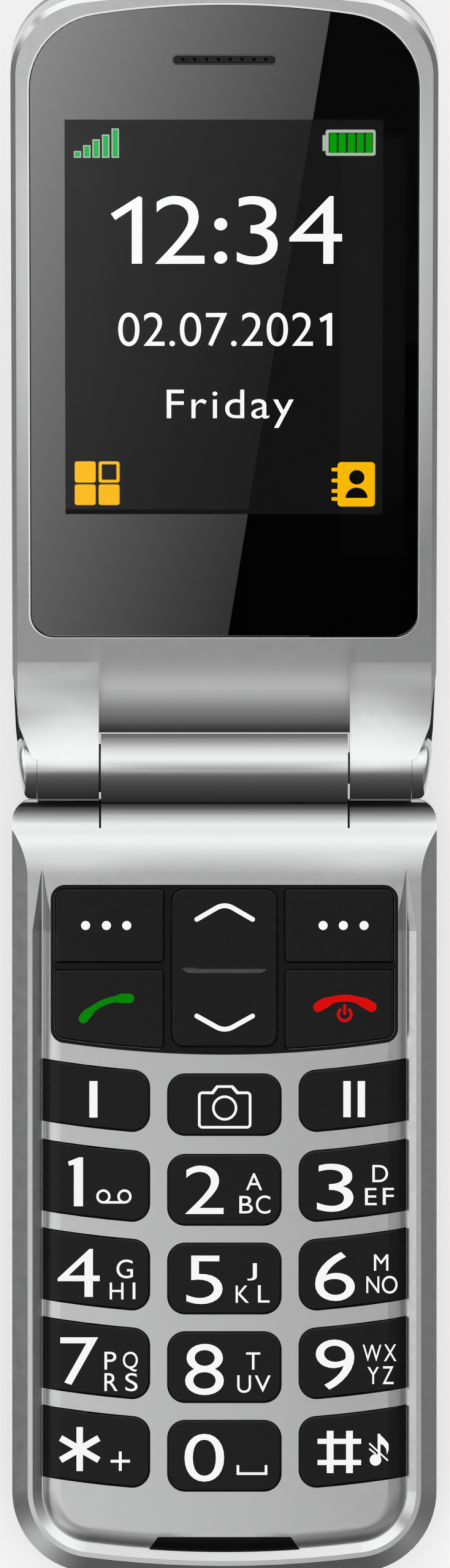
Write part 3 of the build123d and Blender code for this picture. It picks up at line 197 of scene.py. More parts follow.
FINISHES = {
    "silver_paint": surface("silver paint", (0.607, 0.609, 0.612), 0.22, metallic=0.95, bump=0.02, depth=0.004,
                            tint=0.015, spread=0.02),
    "case_black": surface("matt black case", (0.028, 0.029, 0.032), 0.52, grain=3200, bump=0.35, depth=0.03,
                          tint=0.08),
    "lid_shell": surface("glossy lid shell", (0.020, 0.020, 0.023), 0.16, coat=0.5, grain=700, bump=0.02,
                         depth=0.01),
    "key_black": surface("black keycaps", (0.0014, 0.0014, 0.0015), 0.28, grain=1100, bump=0.02, depth=0.006,
                         tint=0.10, spread=0.04, specular=0.24),
    "panel_black": surface("black key panel", (0.0024, 0.0024, 0.0026), 0.24, bump=0.02, depth=0.006,
                           tint=0.10, spread=0.03, specular=0.16),
    "lens_black": glass("display window", (0.97, 0.97, 0.98)),
    "display_glass": surface("display glass", (0.010, 0.010, 0.012), 0.08, grain=600, bump=0.01, depth=0.005),
    "outer_glass": surface("smoked window", (0.006, 0.006, 0.008), 0.05, coat=0.6, grain=400, bump=0.01,
                           depth=0.004, spread=0.02),
    "grille_black": surface("blackened mesh", (0.020, 0.020, 0.020), 0.45, metallic=0.6, grain=6000, bump=0.4),
    "rubber_mat": surface("grey rubber", (0.25, 0.25, 0.26), 0.75, grain=2500, bump=0.3),
    "dome_film": surface("dome film", (0.75, 0.75, 0.72), 0.25),
    "circuit_board": surface("solder mask", (0.01, 0.12, 0.05), 0.35, grain=700, bump=0.2, tint=0.15),
    "spring_steel": surface("stamped steel", (0.55, 0.55, 0.55), 0.30, metallic=1.0, stretch=(1, 12, 1)),
    "screw_steel": surface("blackened steel", (0.30, 0.30, 0.32), 0.35, metallic=1.0),
    "battery_wrap": surface("battery wrap", (0.35, 0.36, 0.38), 0.42, grain=1800, bump=0.1),
    "contact_brass": surface("plated contacts", (0.80, 0.60, 0.25), 0.25, metallic=1.0),
    "inner_plastic": surface("moulded inner plastic", (0.04, 0.04, 0.045), 0.55, grain=2200, bump=0.2),
    "tin_shell": surface("drawn tin", (0.55, 0.55, 0.56), 0.28, metallic=1.0, stretch=(10, 1, 1)),
    "hinge_steel": surface("turned steel", (0.45, 0.45, 0.46), 0.25, metallic=1.0, stretch=(8, 1, 1)),
    "ribbon_film": surface("ribbon film", (0.45, 0.20, 0.04), 0.35, grain=600),
    "magnet_plate": surface("nickel plate", (0.60, 0.60, 0.62), 0.15, metallic=1.0),
}
PRINT_WHITE = surface("white legend ink", (0.93, 0.93, 0.93), 0.45, grain=2500, tint=0.01)
PRINT_GREEN = surface("green legend ink", (0.0, 0.235, 0.0), 0.40, grain=2500, tint=0.03, specular=0.04)
PRINT_RED = surface("red legend ink", (0.70, 0.001, 0.001), 0.40, grain=2500, tint=0.03, specular=0.04)
BLACK_PRINT = back_print("black back print", (0.0025, 0.0025, 0.0026))
# Pale colour of the trim round the display window: a painted highlight along the window's edge, not the trim's own
# tone
PAINTED_HIGHLIGHT_TRIM = surface("pale trim with painted highlight", (0.80, 0.80, 0.81), 0.3, metallic=0.2, grain=1500, bump=0.02, tint=0.01)
SCREEN_BLACK = lit("screen black", (0.0015, 0.0015, 0.0015))
SCREEN_DARK = lit("screen ground", (0.0072, 0.0072, 0.0072))
SCREEN_WHITE = lit("screen white", (1.0, 1.0, 1.0), 0.98)
SCREEN_GREEN = lit("screen green", (0.01, 0.47, 0.08))
SCREEN_LEAF = lit("screen leaf green", (0.0, 0.34, 0.0))
SCREEN_RIM = lit("screen rim", (0.42, 0.52, 0.42))
SCREEN_AMBER = lit("screen amber", (1.0, 0.52, 0.0))

for part in frame["record"]["subparts"]:
    piece = frame["nodes"][part["node"]]
    piece.data.materials.clear()
    piece.data.materials.append(FINISHES[part["material_slot"]])


# ---- flat marks ---------------------------------------------------------------------------------
def outline_faces(loops):
    """Triangles of a flat outline with holes, from its closed loops."""
    curve = bpy.data.curves.new("outline", "CURVE")
    curve.dimensions = "2D"
    curve.fill_mode = "BOTH"
    for loop in loops:
        spline = curve.splines.new("POLY")
        spline.points.add(len(loop) - 1)
        for point, (x, y) in zip(spline.points, loop):
            point.co = (x, y, 0, 1)
        spline.use_cyclic_u = True
    return flattened(curve)


def glyph_faces(text, low, high, weight=0.0, spacing=1.0):
    """Triangles of a short text, stretched to fill the box between two corners."""
    curve = bpy.data.curves.new("glyphs", "FONT")
    curve.body = text
    curve.size = 1.0
    curve.offset = weight
    curve.space_character = spacing
    curve.resolution_u = 6
    points, faces = flattened(curve)
    left, right = min(p[0] for p in points), max(p[0] for p in points)
    bottom, top = min(p[1] for p in points), max(p[1] for p in points)
    wide, tall = (high[0] - low[0]) / (right - left), (high[1] - low[1]) / (top - bottom)
    return [(low[0] + (x - left) * wide, low[1] + (y - bottom) * tall) for x, y in points], faces


def flattened(curve):
    """The points and faces that a filled curve gives."""
    holder = bpy.data.objects.new("holder", curve)
    bpy.context.scene.collection.objects.link(holder)
    bpy.context.view_layer.update()
    mesh = bpy.data.meshes.new_from_object(holder.evaluated_get(bpy.context.evaluated_depsgraph_get()))
    points = [(v.co.x, v.co.y) for v in mesh.vertices]
    faces = [tuple(p.vertices) for p in mesh.polygons]
    bpy.data.objects.remove(holder)
    bpy.data.curves.remove(curve)
    bpy.data.meshes.remove(mesh)
    return points, faces


def ring_points(centre, radius, start=0.0, turn=360.0, count=40):
    """Points on a circle or a part of one."""
    steps = count if turn == 360 else count + 1
    angles = [math.radians(start + turn * i / count) for i in range(steps)]
    return [(centre[0] + radius * math.cos(a), centre[1] + radius * math.sin(a)) for a in angles]


def disc(centre, radius):
    return outline_faces([ring_points(centre, radius)])


def ring(centre, radius, width):
    return outline_faces([ring_points(centre, radius), ring_points(centre, radius - width)])


def rect(low, high):
    x0, y0, x1, y1 = *low, *high
    return [(x0, y0), (x1, y0), (x1, y1), (x0, y1)]


def rounded(low, high, radius):
    """Loop of a rectangle with round corners."""
    x0, y0, x1, y1 = *low, *high
    corners = (((x1 - radius, y0 + radius), 270), ((x1 - radius, y1 - radius), 0),
               ((x0 + radius, y1 - radius), 90), ((x0 + radius, y0 + radius), 180))
    return [p for centre, start in corners for p in ring_points(centre, radius, start, 90, 6)]


def stroke(points, widths, cap=True):
    """Loop round a line whose width varies from point to point."""
    left, right = [], []
    for i, (x, y) in enumerate(points):
        x0, y0 = points[max(0, i - 1)]
        x1, y1 = points[min(len(points) - 1, i + 1)]
        long = math.hypot(x1 - x0, y1 - y0)
        nx, ny = (y0 - y1) / long, (x1 - x0) / long
        half = widths[i] / 2
        left.append((x + nx * half, y + ny * half))
        right.append((x - nx * half, y - ny * half))
    if not cap:
        return left + right[::-1]

    def round_end(at, start, half):
        angle = math.degrees(math.atan2(start[1] - at[1], start[0] - at[0]))
        return ring_points(at, half, angle, -180, 8)[1:-1]

    tail = round_end(points[-1], left[-1], widths[-1] / 2)
    head = round_end(points[0], right[0], widths[0] / 2)
    return left + tail + right[::-1] + head


def bent(start, control, end, count=14):
    """Points on a curve that leaves start towards control and ends at end."""
    marks = [i / count for i in range(count + 1)]
    return [tuple((1 - t) ** 2 * a + 2 * t * (1 - t) * b + t * t * c
                  for a, b, c in zip(start, control, end)) for t in marks]


def build(name, parts, place, material, body):
    """One object of flat marks: place turns a mark's x, y and layer into a point of the frame."""
    points, faces = [], []
    for layer, (spots, polygons) in enumerate(parts):
        first = len(points)
        points += [place(x, y, layer) for x, y in spots]
        faces += [tuple(first + i for i in polygon) for polygon in polygons]
    mesh = bpy.data.meshes.new(name)
    mesh.from_pydata([p * MM for p in points], [], faces)
    mesh.update()
    mesh.materials.append(material)
    piece = bpy.data.objects.new(name, mesh)
    bpy.context.scene.collection.objects.link(piece)
    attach(piece, body)
    return piece


def sliced(points, faces, cuts):
    """The same flat faces cut along lines of constant x."""
    work = bmesh.new()
    corners = [work.verts.new((x, y, 0)) for x, y in points]
    for face in faces:
        work.faces.new([corners[i] for i in face])
    for x in cuts:
        everything = work.verts[:] + work.edges[:] + work.faces[:]
        bmesh.ops.bisect_plane(work, geom=everything, plane_co=(x, 0, 0), plane_no=(1, 0, 0))
    work.verts.index_update()
    spots = [(v.co.x, v.co.y) for v in work.verts]
    polygons = [tuple(v.index for v in f.verts) for f in work.faces]
    work.free()
    return spots, polygons


def print_on(node, parts, material, label="legend"):
    """Legend ink that follows the top of a keycap, also where the cap rolls down at its outer side."""
    key = frame["nodes"][node]
    cuts = [side * (ROLL_START + 0.15 * i) for side in (-1, 1) for i in range(14)]
    above = 40

    def place(x, y, layer):
        spot = Vector((x, y + HINGE.y, above))
        hit, where, _, _ = key.ray_cast(spot * MM, Vector((0, 0, -1)))
        spot.z = (where.z / MM if hit else KEY_LEVEL) + KEY_INK + KEY_INK_LAYER * layer
        return spot

    return build(f"{label}_{node}", [sliced(*part, cuts) for part in parts], place, material, node)


def on_display(name, parts, material, lift=0.0):
    """Marks of the display, just above its glass."""
    level = DISPLAY_LEVEL + GLOW + lift
    return build(name, parts, lambda x, y, layer: LID @ Vector((x, y, level + GLOW_LAYER * layer)), material, "lid")


def base_box(x0, y0, x1, y1):
    """Lowest and highest corner of a box of pixels on the keypad."""
    return on_base(x0, y1), on_base(x1, y0)


def lid_box(x0, y0, x1, y1):
    """The same on the display."""
    return on_lid(x0, y1), on_lid(x1, y0)


def px(value):
    return value * PIXEL


# ---- legends ------------------------------------------------------------------------------------
def dots(xs, y):
    return [disc(on_base(x, y), px(7.4)) for x in xs]


def chevron(y_end, y_tip):
    """An arrow head with a blunt tip."""
    near, beyond = y_tip + (y_end - y_tip) * 0.18, y_tip * 1.12 - y_end * 0.12
    tip = bent(on_base(353.5, near), on_base(366.5, beyond), on_base(379.5, near), 8)
    line = [on_base(321, y_end), *tip, on_base(412, y_end)]
    return outline_faces([stroke(line, [px(7.8)] * len(line))])


def handset(points, ends, middle):
    """A telephone receiver: a bent bar with swollen ends."""
    line = bent(*[on_base(*p) for p in points], count=24)
    widths = []
    for i in range(len(line)):
        t = abs(2 * i / (len(line) - 1) - 1)
        swell = min(1, max(0, (t - 0.45) / 0.3))
        widths.append(px(middle + (ends - middle) * swell * swell * (3 - 2 * swell)))
    return outline_faces([stroke(line, widths)])


def asterisk(centre, radius, width):
    """Six arms from one centre."""
    loop = []
    inner = width / 2 / math.sin(math.radians(30))
    for i in range(6):
        a = math.radians(90 + 60 * i)
        along, side = (math.cos(a), math.sin(a)), (-math.sin(a), math.cos(a))
        for s in (-1, 1):
            loop.append((centre[0] + along[0] * radius + side[0] * s * width / 2,
                         centre[1] + along[1] * radius + side[1] * s * width / 2))
        b = a + math.radians(30)
        loop.append((centre[0] + math.cos(b) * inner, centre[1] + math.sin(b) * inner))
    return outline_faces([loop])


def plus(centre, half, width):
    x, y, w = *centre, width / 2
    loop = [(x - w, y - half), (x + w, y - half), (x + w, y - w), (x + half, y - w), (x + half, y + w),
            (x + w, y + w), (x + w, y + half), (x - w, y + half), (x - w, y + w), (x - half, y + w),
            (x - half, y - w), (x - w, y - w)]
    return outline_faces([loop])


def voicemail():
    """Two reels on one line of tape."""
    left, right, radius, width = on_base(168.6, 1953.4), on_base(203, 1953.4), px(11.6), px(3.9)
    tape = rect((left[0], left[1] - radius), (right[0], left[1] - radius + width))
    return [ring(left, radius, width), ring(right, radius, width), outline_faces([tape])]


def camera_icon():
    """The outline of a camera."""
    low, high = base_box(323, 1782, 410, 1842.5)
    width, corner = px(4.2), px(7)
    bump = [(345, 1782), (353, 1772), (380, 1772), (389, 1782)]
    inner = [(348, 1786.5), (356, 1776), (377, 1776), (386, 1786.5)]
    outer_loop = rounded(low, high, corner)
    outer_loop = outer_loop[:14] + [on_base(*p) for p in reversed(bump)] + outer_loop[14:]
    grown_low, grown_high = (low[0] + width, low[1] + width), (high[0] - width, high[1] - width)
    inner_loop = rounded(grown_low, grown_high, corner - width)
    inner_loop = inner_loop[:14] + [on_base(*p) for p in reversed(inner)] + inner_loop[14:]
    return [outline_faces([outer_loop, inner_loop]), ring(on_base(366.5, 1809), px(20.5), px(4))]


def traced(*loops, place=on_base):
    """A mark from its corners in pixels."""
    return outline_faces([[place(*p) for p in loop] for loop in loops])


def hash_sign():
    """Two posts and two rails."""
    rails = [traced([(518, y), (589, y), (589, y + 8.4), (518, y + 8.4)]) for y in (2349, 2383.5)]
    posts = [traced([(x, 2336), (x + 11, 2336), (x + 11, 2405), (x, 2405)]) for x in (533, 564.5)]
    return rails + posts


def note_icon():
    """A crossed-out musical note."""
    stem = traced([(616, 2383), (616, 2341), (620.5, 2341), (620.5, 2383)])
    flag = traced([(618, 2341), (626, 2348), (633.5, 2357), (634, 2366), (631, 2375), (630, 2366), (626, 2360),
                   (618, 2356)])
    bars = [outline_faces([stroke([on_base(*a), on_base(*b)], [px(2.6)] * 2)])
            for a, b in (((603, 2357), (632, 2384)), ((603, 2366), (612, 2373)))]
    return [disc(on_base(612.5, 2383.5), px(9.4)), stem, flag, *bars]


def space_icon():
    """The tray that stands for a blank."""
    (x0, y0), (x1, y1), w = *base_box(386, 2392, 436, 2408), px(4.2)
    loop = [(x0, y0), (x1, y0), (x1, y1), (x1 - w, y1), (x1 - w, y0 + w), (x0 + w, y0 + w), (x0 + w, y1), (x0, y1)]
    return outline_faces([loop])


def character(text, x0, y0, x1, y1):
    """A digit or a smaller letter, in its box of pixels."""
    return glyph_faces(text, *base_box(x0, y0, x1, y1), -0.004 if text.isdigit() else -0.001)


CHARACTERS = {
    "key_2": [("2", 302, 1903, 364.6, 1982), ("A", 401.3, 1915.5, 427.6, 1943), ("B", 390.4, 1952.6, 412.4, 1981),
              ("C", 417.4, 1951.8, 441, 1981.6)],
    "key_3": [("3", 517, 1900, 576.4, 1978.4), ("D", 607.4, 1902, 633, 1930), ("E", 595.4, 1939.6, 614.4, 1967.6),
              ("F", 624.4, 1939.4, 642.4, 1967)],
    "key_4": [("4", 94, 2039, 162.6, 2117.4), ("G", 190, 2056.4, 216.8, 2087), ("H", 179, 2094, 201.4, 2121.4),
              ("I", 216.4, 2094, 220.8, 2121)],
    "key_5": [("5", 304, 2050, 363, 2129), ("J", 403, 2062.4, 419, 2090.6), ("K", 384.4, 2099, 406, 2127),
              ("L", 420.8, 2098.4, 439.6, 2126.6)],
    "key_6": [("6", 514, 2044, 578.8, 2124), ("M", 610, 2048, 633.4, 2074.6), ("N", 597.6, 2083.8, 618.6, 2111),
              ("O", 622.8, 2083, 648.4, 2112)],
    "key_7": [("7", 98.4, 2183.4, 160, 2261), ("P", 170.4, 2207, 189.6, 2236), ("Q", 200.4, 2207, 224.8, 2239.4),
              ("R", 170.4, 2242, 191.8, 2271), ("S", 204.4, 2241.8, 224.4, 2271.4)],
    "key_8": [("8", 302, 2194, 365, 2277.6), ("T", 401.4, 2208, 424.6, 2236), ("U", 387, 2245.4, 409.4, 2274),
              ("V", 415.6, 2245.6, 441.4, 2272.6)],
    "key_9": [("9", 515, 2187, 578, 2268.8), ("W", 591.6, 2195.4, 622, 2222.4), ("X", 626.2, 2195, 646.6, 2222.4),
              ("Y", 599.4, 2231.8, 618, 2259.6), ("Z", 624, 2230.6, 642, 2259.8)],
}
LEGENDS = {
    "key_menu_left": dots((139.6, 173.6, 206.7), 1511),
    "key_menu_right": dots((527, 560, 593.8), 1511),
    "key_rocker": [chevron(1501, 1478), chevron(1658.8, 1681)],
    "key_memory_one": [outline_faces([rect(*base_box(145.8, 1765, 159, 1824.5))])],
    "key_camera": camera_icon(),
    "key_memory_two": [outline_faces([rect(*base_box(x, 1765, x + 12, 1824))]) for x in (560, 583.4)],
    "key_1": [traced([(120.5, 1969.4), (135.4, 1969.4), (135.4, 1889.5), (129, 1889.5), (110.8, 1896.5),
                      (112.6, 1903.3), (120.5, 1901.5)]), *voicemail()],
    **{node: [character(*row) for row in rows] for node, rows in CHARACTERS.items()},
    "key_star": [asterisk(on_base(130, 2365.8), px(36), px(10.5)), plus(on_base(196.2, 2385.6), px(15.8), px(4.6))],
    "key_0": [character("0", 301, 2341, 365.6, 2419), space_icon()],
    "key_hash": [*hash_sign(), *note_icon()],
}
for node, parts in LEGENDS.items():
    print_on(node, parts, PRINT_WHITE)


def ridge_finish():
    """The glossy bar across the middle of the rocker, paler towards its lower edge."""
    material = surface("rocker ridge", (0.05, 0.05, 0.05), 0.35, grain=1100, bump=0.02, depth=0.006, specular=0.05)
    tree = material.node_tree
    split = tree.nodes.new("ShaderNodeSeparateXYZ")
    tree.links.new(tree.nodes.new("ShaderNodeTexCoord").outputs["Object"], split.inputs[0])
    upper, lower = ((HINGE.y + on_base(366, y)[1]) * MM for y in (1575, 1585))
    tree.links.new(faded(tree, split.outputs["Y"], upper, lower, 0.017, 0.066, clamp=True),
                   tree.nodes["Principled BSDF"].inputs["Base Color"])
    return material


# in narrow strips, so that it bends with the rocker's top: each row and half the ridge's width there
RIDGE_ROWS = [(1574, 69.5), (1576, 69.5), (1578, 69.5), (1580, 69.2), (1582, 68.4), (1584, 67), (1586, 64.6),
              (1587.4, 62), (1588.6, 58)]
RIDGE_X = 366.5
ridge = [traced([(RIDGE_X - a, y), (RIDGE_X + a, y), (RIDGE_X + b, z), (RIDGE_X - b, z)])
         for (y, a), (z, b) in zip(RIDGE_ROWS, RIDGE_ROWS[1:])]
print_on("key_rocker", ridge, ridge_finish(), "ridge")
print_on("key_call", [handset([(136, 1663), (163, 1628), (211, 1630)], 15.5, 10)], PRINT_GREEN)
arc = ring_points(on_base(562.3, 1656), px(10.5), 125, 290, 30)
power = [outline_faces([stroke(arc, [px(4.6)] * len(arc), cap=False)]),
         outline_faces([stroke([on_base(562.3, 1641), on_base(562.3, 1655)], [px(4.4)] * 2)])]
print_on("key_end", [handset([(519, 1644), (562.3, 1615), (606, 1644)], 16.5, 11), *power], PRINT_RED)


# ---- display ------------------------------------------------------------------------------------
def bar(x0, y0, x1, y1, corner=1.0):
    return outline_faces([rounded(*lid_box(x0, y0, x1, y1), px(corner))])


def words(text, x0, y0, x1, y1, weight=0.0, spacing=1.0):
    return glyph_faces(text, *lid_box(x0, y0, x1, y1), weight, spacing)


on_display("screen_ground", [outline_faces([rect(*lid_box(101, 189, 631, 845))])], SCREEN_DARK)
CROP_X, CROP_Y, CROP_SCALE = 80, 180, 2.305  # the signal and the battery were measured in an enlarged crop
steps = [(93, 152), (128, 130), (163, 108), (199, 90), (235, 67)]
signal = [(CROP_X + x / CROP_SCALE, CROP_Y + y / CROP_SCALE, CROP_X + (x + 28) / CROP_SCALE,
           CROP_Y + 178 / CROP_SCALE) for x, y in steps]
signal_fill = [bar(x0 + 2, y0 + 2, x1 - 2, y1 - 2, 0.5) for x0, y0, x1, y1 in signal]
on_display("signal_rims", [bar(*b) for b in signal], SCREEN_RIM, MARK)
on_display("signal_bars", signal_fill, SCREEN_GREEN, FILLING)
battery_frame = [rounded(*lid_box(531, 211.2, 612.7, 253.8), px(4)), rounded(*lid_box(536, 216, 608.5, 249), px(2))]
on_display("battery_rim", [outline_faces(battery_frame), bar(526, 220, 531, 246)], SCREEN_RIM, MARK)
cells = [(1055, 1082), (1088, 1116), (1123, 1150), (1157, 1184), (1190, 1215)]
on_display("battery_cells", [bar(CROP_X + a / CROP_SCALE, 217, CROP_X + b / CROP_SCALE, 248.5) for a, b in cells],
           SCREEN_LEAF, FILLING)
clock = [traced([(215, 430), (231.8, 430), (231.8, 322), (226.5, 319.8), (180.7, 348.5), (188, 358.7),
                 (215, 341)], place=on_lid)]
clock += [words("2", 253, 319.2, 333.5, 430.3, -0.006), words("34", 386.3, 319.7, 558, 431.6, -0.006)]
clock += [disc(on_lid(360, y), px(10.5)) for y in (365.5, 420)]
on_display("clock_digits", clock, SCREEN_WHITE, MARK)
date = [words("02.07.202", 192.8, 509.7, 510.5, 564.8, -0.004, 1.02)]
date.append(traced([(533, 563.8), (541.7, 563.8), (541.7, 510.5), (537, 510.5), (521, 519.5), (523.8, 525.8),
                    (533, 521)], place=on_lid))
on_display("date_digits", date, SCREEN_WHITE, MARK)
on_display("day_word", [words("Friday", 272, 635.7, 479, 698, -0.002, 1.12)], SCREEN_WHITE, MARK)
tiles = [bar(122, 752.7, 156, 787.4, 4), bar(122, 790.4, 156, 824, 4), bar(161, 790.4, 195, 824, 4)]
tiles.append(outline_faces([rounded(*lid_box(161, 752.7, 195, 787.4), px(4)),
                            rounded(*lid_box(166, 757.5, 190, 782.8), px(1))]))
on_display("menu_tiles", tiles, SCREEN_AMBER, MARK)
teeth = [(540.7, 763, 556, 769), (540.7, 781, 556, 787), (540.7, 798, 556, 804), (540.7, 811, 556, 817)]
book = [bar(550.5, 754, 611.5, 826.4, 6)] + [bar(*t, 2) for t in teeth]
on_display("contact_book", book, SCREEN_AMBER, MARK)
shoulders = ring_points(on_lid(581.5, 812.5), px(18), 0, 180, 24)
person = [disc(on_lid(582, 778.7), px(12.5)), outline_faces([shoulders])]
on_display("contact_figure", person, SCREEN_BLACK, FIGURE)


# ---- black print behind the display window ------------------------------------------------------
def lens_loop(out):
    """The display window's plan, grown by out."""
    bow, half, end, near, corner, foot = 100.0 + out, 23.65 + out, 97.8 + out, 16.75 - out, 9.5 + out, 2.9 + out
    centre_y = end - bow
    corner_x = half - corner
    corner_y = centre_y + math.sqrt((bow - corner) ** 2 - corner_x ** 2)
    lean = math.degrees(math.atan2(corner_y - centre_y, corner_x))
    loop = ring_points((corner_x, corner_y), corner, 0, lean, 12)
    loop += ring_points((0, centre_y), bow, lean, 180 - 2 * lean, 40)[1:-1]
    loop += ring_points((-corner_x, corner_y), corner, 180 - lean, lean, 12)
    loop += ring_points((-half + foot, near + foot), foot, 180, 90, 8)
    loop += ring_points((half - foot, near + foot), foot, 270, 90, 8)
    return loop


def lens_border():
    """The printed border, with openings over the active area and for the earpiece."""
    middle, half_long, half_high = 90.75, 6.2, 0.5
    slot = rounded((-half_long, middle - half_high), (half_long, middle + half_high), 0.49)
    window = rect(on_lid(106.9, 839.4, PRINT_LEVEL), on_lid(625.3, 195.2, PRINT_LEVEL))
    return outline_faces([lens_loop(-0.06), window, slot])


def rim(name, profile, material):
    """A trim round the window, through pairs of a distance from the window and a level.

    The distance is a number, or a list with one for each point of the window's loop.
    """
    plan, grown = lens_loop(0.0), lens_loop(1.0)
    count = len(plan)
    points = []
    for out, level in profile:
        for i, (a, b) in enumerate(zip(plan, grown)):
            step = out[i] if isinstance(out, list) else out
            points.append(LID @ Vector((a[0] + (b[0] - a[0]) * step, a[1] + (b[1] - a[1]) * step, level)))
    mesh = bpy.data.meshes.new(name)
    faces = [(r * count + i, (r + 1) * count + i, (r + 1) * count + (i + 1) % count, r * count + (i + 1) % count)
             for r in range(len(profile) - 1) for i in range(count)]
    mesh.from_pydata([p * MM for p in points], [], faces)
    mesh.materials.append(material)
    piece = bpy.data.objects.new(name, mesh)
    bpy.context.scene.collection.objects.link(piece)
    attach(piece, "lid")
    return piece


border = build("window_print", [lens_border()], lambda x, y, layer: LID @ Vector((x, y, PRINT_LEVEL)),
               BLACK_PRINT, "lid")
SEAT_LEVEL, HIGHLIGHT_BEAD_LEVEL = LID_FACE + 0.012, LID_FACE + 0.04
seat = rim("window_seat", [(0.03, LENS_TOP), (0.05, SEAT_LEVEL), (0.43, SEAT_LEVEL), (0.44, LID_FACE - 0.05)],
           FINISHES["silver_paint"])
# The bead is a real raised trim round the window, but it is painted pale and made broadest at the upper left, where
# the light falls, and thinnest at the lower right: a painted highlight of the window's edge
THIN, WIDER = 0.06, 0.17  # the bead's breadth at the lower right, and what it gains towards the upper left
highlight_breadth = []
for inner, outer in zip(lens_loop(0.0), lens_loop(1.0)):
    share = (0.75 - 0.6 * (outer[0] - inner[0]) + 0.7 * (outer[1] - inner[1])) / 1.5
    highlight_breadth.append(THIN + WIDER * min(1, max(0, share)))
# the raised trim with its painted highlight
rim("window_bead_painted_highlight", [(0.02, LENS_TOP), (0.03, HIGHLIGHT_BEAD_LEVEL), (highlight_breadth, HIGHLIGHT_BEAD_LEVEL),
                    ([w + 0.03 for w in highlight_breadth], LID_FACE + 0.005)], PAINTED_HIGHLIGHT_TRIM)


# ---- floor --------------------------------------------------------------------------------------
def make_floor():
    """A pale floor. For the camera, in gloss and through glass it glows as well, so it reads as white."""
    reach, glow = 6.0, 0.55
    mesh = bpy.data.meshes.new("floor")
    mesh.from_pydata([(-reach, -reach, 0), (reach, -reach, 0), (reach, reach, 0), (-reach, reach, 0)], [],
                     [(0, 1, 2, 3)])
    floor = bpy.data.objects.new("floor", mesh)
    bpy.context.scene.collection.objects.link(floor)
    material = surface("pale floor", (0.42, 0.42, 0.42), 0.8, grain=300, bump=0.02, tint=0.01, specular=0.02)
    mesh.materials.append(material)
    tree = material.node_tree
    path = tree.nodes.new("ShaderNodeLightPath")
    seen = path.outputs["Is Camera Ray"]
    for kind in ("Is Glossy Ray", "Is Transmission Ray"):
        seen = math_node(tree, "MAXIMUM", seen, path.outputs[kind])
    shader = tree.nodes["Principled BSDF"]
    shader.inputs["Emission Color"].default_value = (1, 1, 1, 1)
    tree.links.new(math_node(tree, "MULTIPLY", seen, glow), shader.inputs["Emission Strength"])


make_floor()


# ---- light --------------------------------------------------------------------------------------
FAR, NEAR = 1000, 450  # how far off the cards stand that the open lid mirrors
BORDER_GLOSS = 0.12  # the share of light that the window's black border mirrors


def glanced(x, y, distance):
    """The spot of a plane at a distance that the open lid mirrors at a pixel."""
    spot = LID @ Vector((*on_lid(x, y, LENS_TOP), LENS_TOP))
    ray = (spot - CAMERA_AT).normalized()
    ray -= 2 * ray.dot(LID_NORMAL) * LID_NORMAL
    return spot + ray * ((distance - (spot - HINGE).dot(LID_GLANCE)) / ray.dot(LID_GLANCE))


def reflected_only(piece, through_glass):
    """Studio gear that shows in gloss and metal, and lights nothing else."""
    bpy.context.scene.collection.objects.link(piece)
    for kind in ("camera", "diffuse", "shadow"):
        setattr(piece, "visible_" + kind, False)
    piece.visible_transmission = through_glass


def card(name, corners, shade, through_glass=False):
    """A flat card of the studio."""
    mesh = bpy.data.meshes.new(name)
    mesh.from_pydata([c * MM for c in corners], [], [tuple(range(len(corners)))])
    mesh.materials.append(shade)
    reflected_only(bpy.data.objects.new(name, mesh), through_glass)


def lamp_shade(name):
    """A material that only glows, with its node tree and its glow node."""
    material = bpy.data.materials.new(name)
    material.use_nodes = True
    material.cycles.emission_sampling = "NONE"
    tree = material.node_tree
    tree.nodes.remove(tree.nodes["Principled BSDF"])
    glow = tree.nodes.new("ShaderNodeEmission")
    tree.links.new(glow.outputs[0], tree.nodes["Material Output"].inputs["Surface"])
    return material, tree, glow


def plain_lamp(name, level):
    """A light that is the same all over."""
    material, _, glow = lamp_shade(name)
    glow.inputs["Strength"].default_value = level
    return material


def graded_lamp(name, axis, start, end, low, high):
    """A light that changes along one axis of the frame, between two places in millimetres."""
    material, tree, glow = lamp_shade(name)
    split = tree.nodes.new("ShaderNodeSeparateXYZ")
    tree.links.new(tree.nodes.new("ShaderNodeTexCoord").outputs["Object"], split.inputs[0])
    level = faded(tree, split.outputs[axis], start * MM, end * MM, low, high, clamp=True)
    tree.links.new(level, glow.inputs["Strength"])
    return material


def bands(tree, value, stops, scale):
    """A smooth curve through stops of a value and a level, divided by a scale that no level passes."""
    low, high = stops[0][0], stops[-1][0]
    ramp = tree.nodes.new("ShaderNodeValToRGB")
    ramp.color_ramp.interpolation = "EASE"
    while len(ramp.color_ramp.elements) < len(stops):
        ramp.color_ramp.elements.new(0.5)
    for element, (place, level) in zip(ramp.color_ramp.elements, stops):
        element.position = (place - low) / (high - low)
        element.color = (level / scale, level / scale, level / scale, 1)
    tree.links.new(faded(tree, value, low, high, 0, 1), ramp.inputs["Fac"])
    return ramp.outputs["Color"]


def upright_card(name, y, half, stops):
    """A small upright card across the hinge, graded through stops of a height and a level."""
    scale = 2.0
    material, tree, glow = lamp_shade(name)
    split = tree.nodes.new("ShaderNodeSeparateXYZ")
    tree.links.new(tree.nodes.new("ShaderNodeTexCoord").outputs["Object"], split.inputs[0])
    height = math_node(tree, "DIVIDE", split.outputs["Z"], MM)
    tree.links.new(math_node(tree, "MULTIPLY", bands(tree, height, stops, scale), scale), glow.inputs["Strength"])
    low, high = stops[0][0], stops[-1][0]
    card(name, [Vector((x, y, z)) for x, z in ((-half, low), (half, low), (half, high), (-half, high))], material)


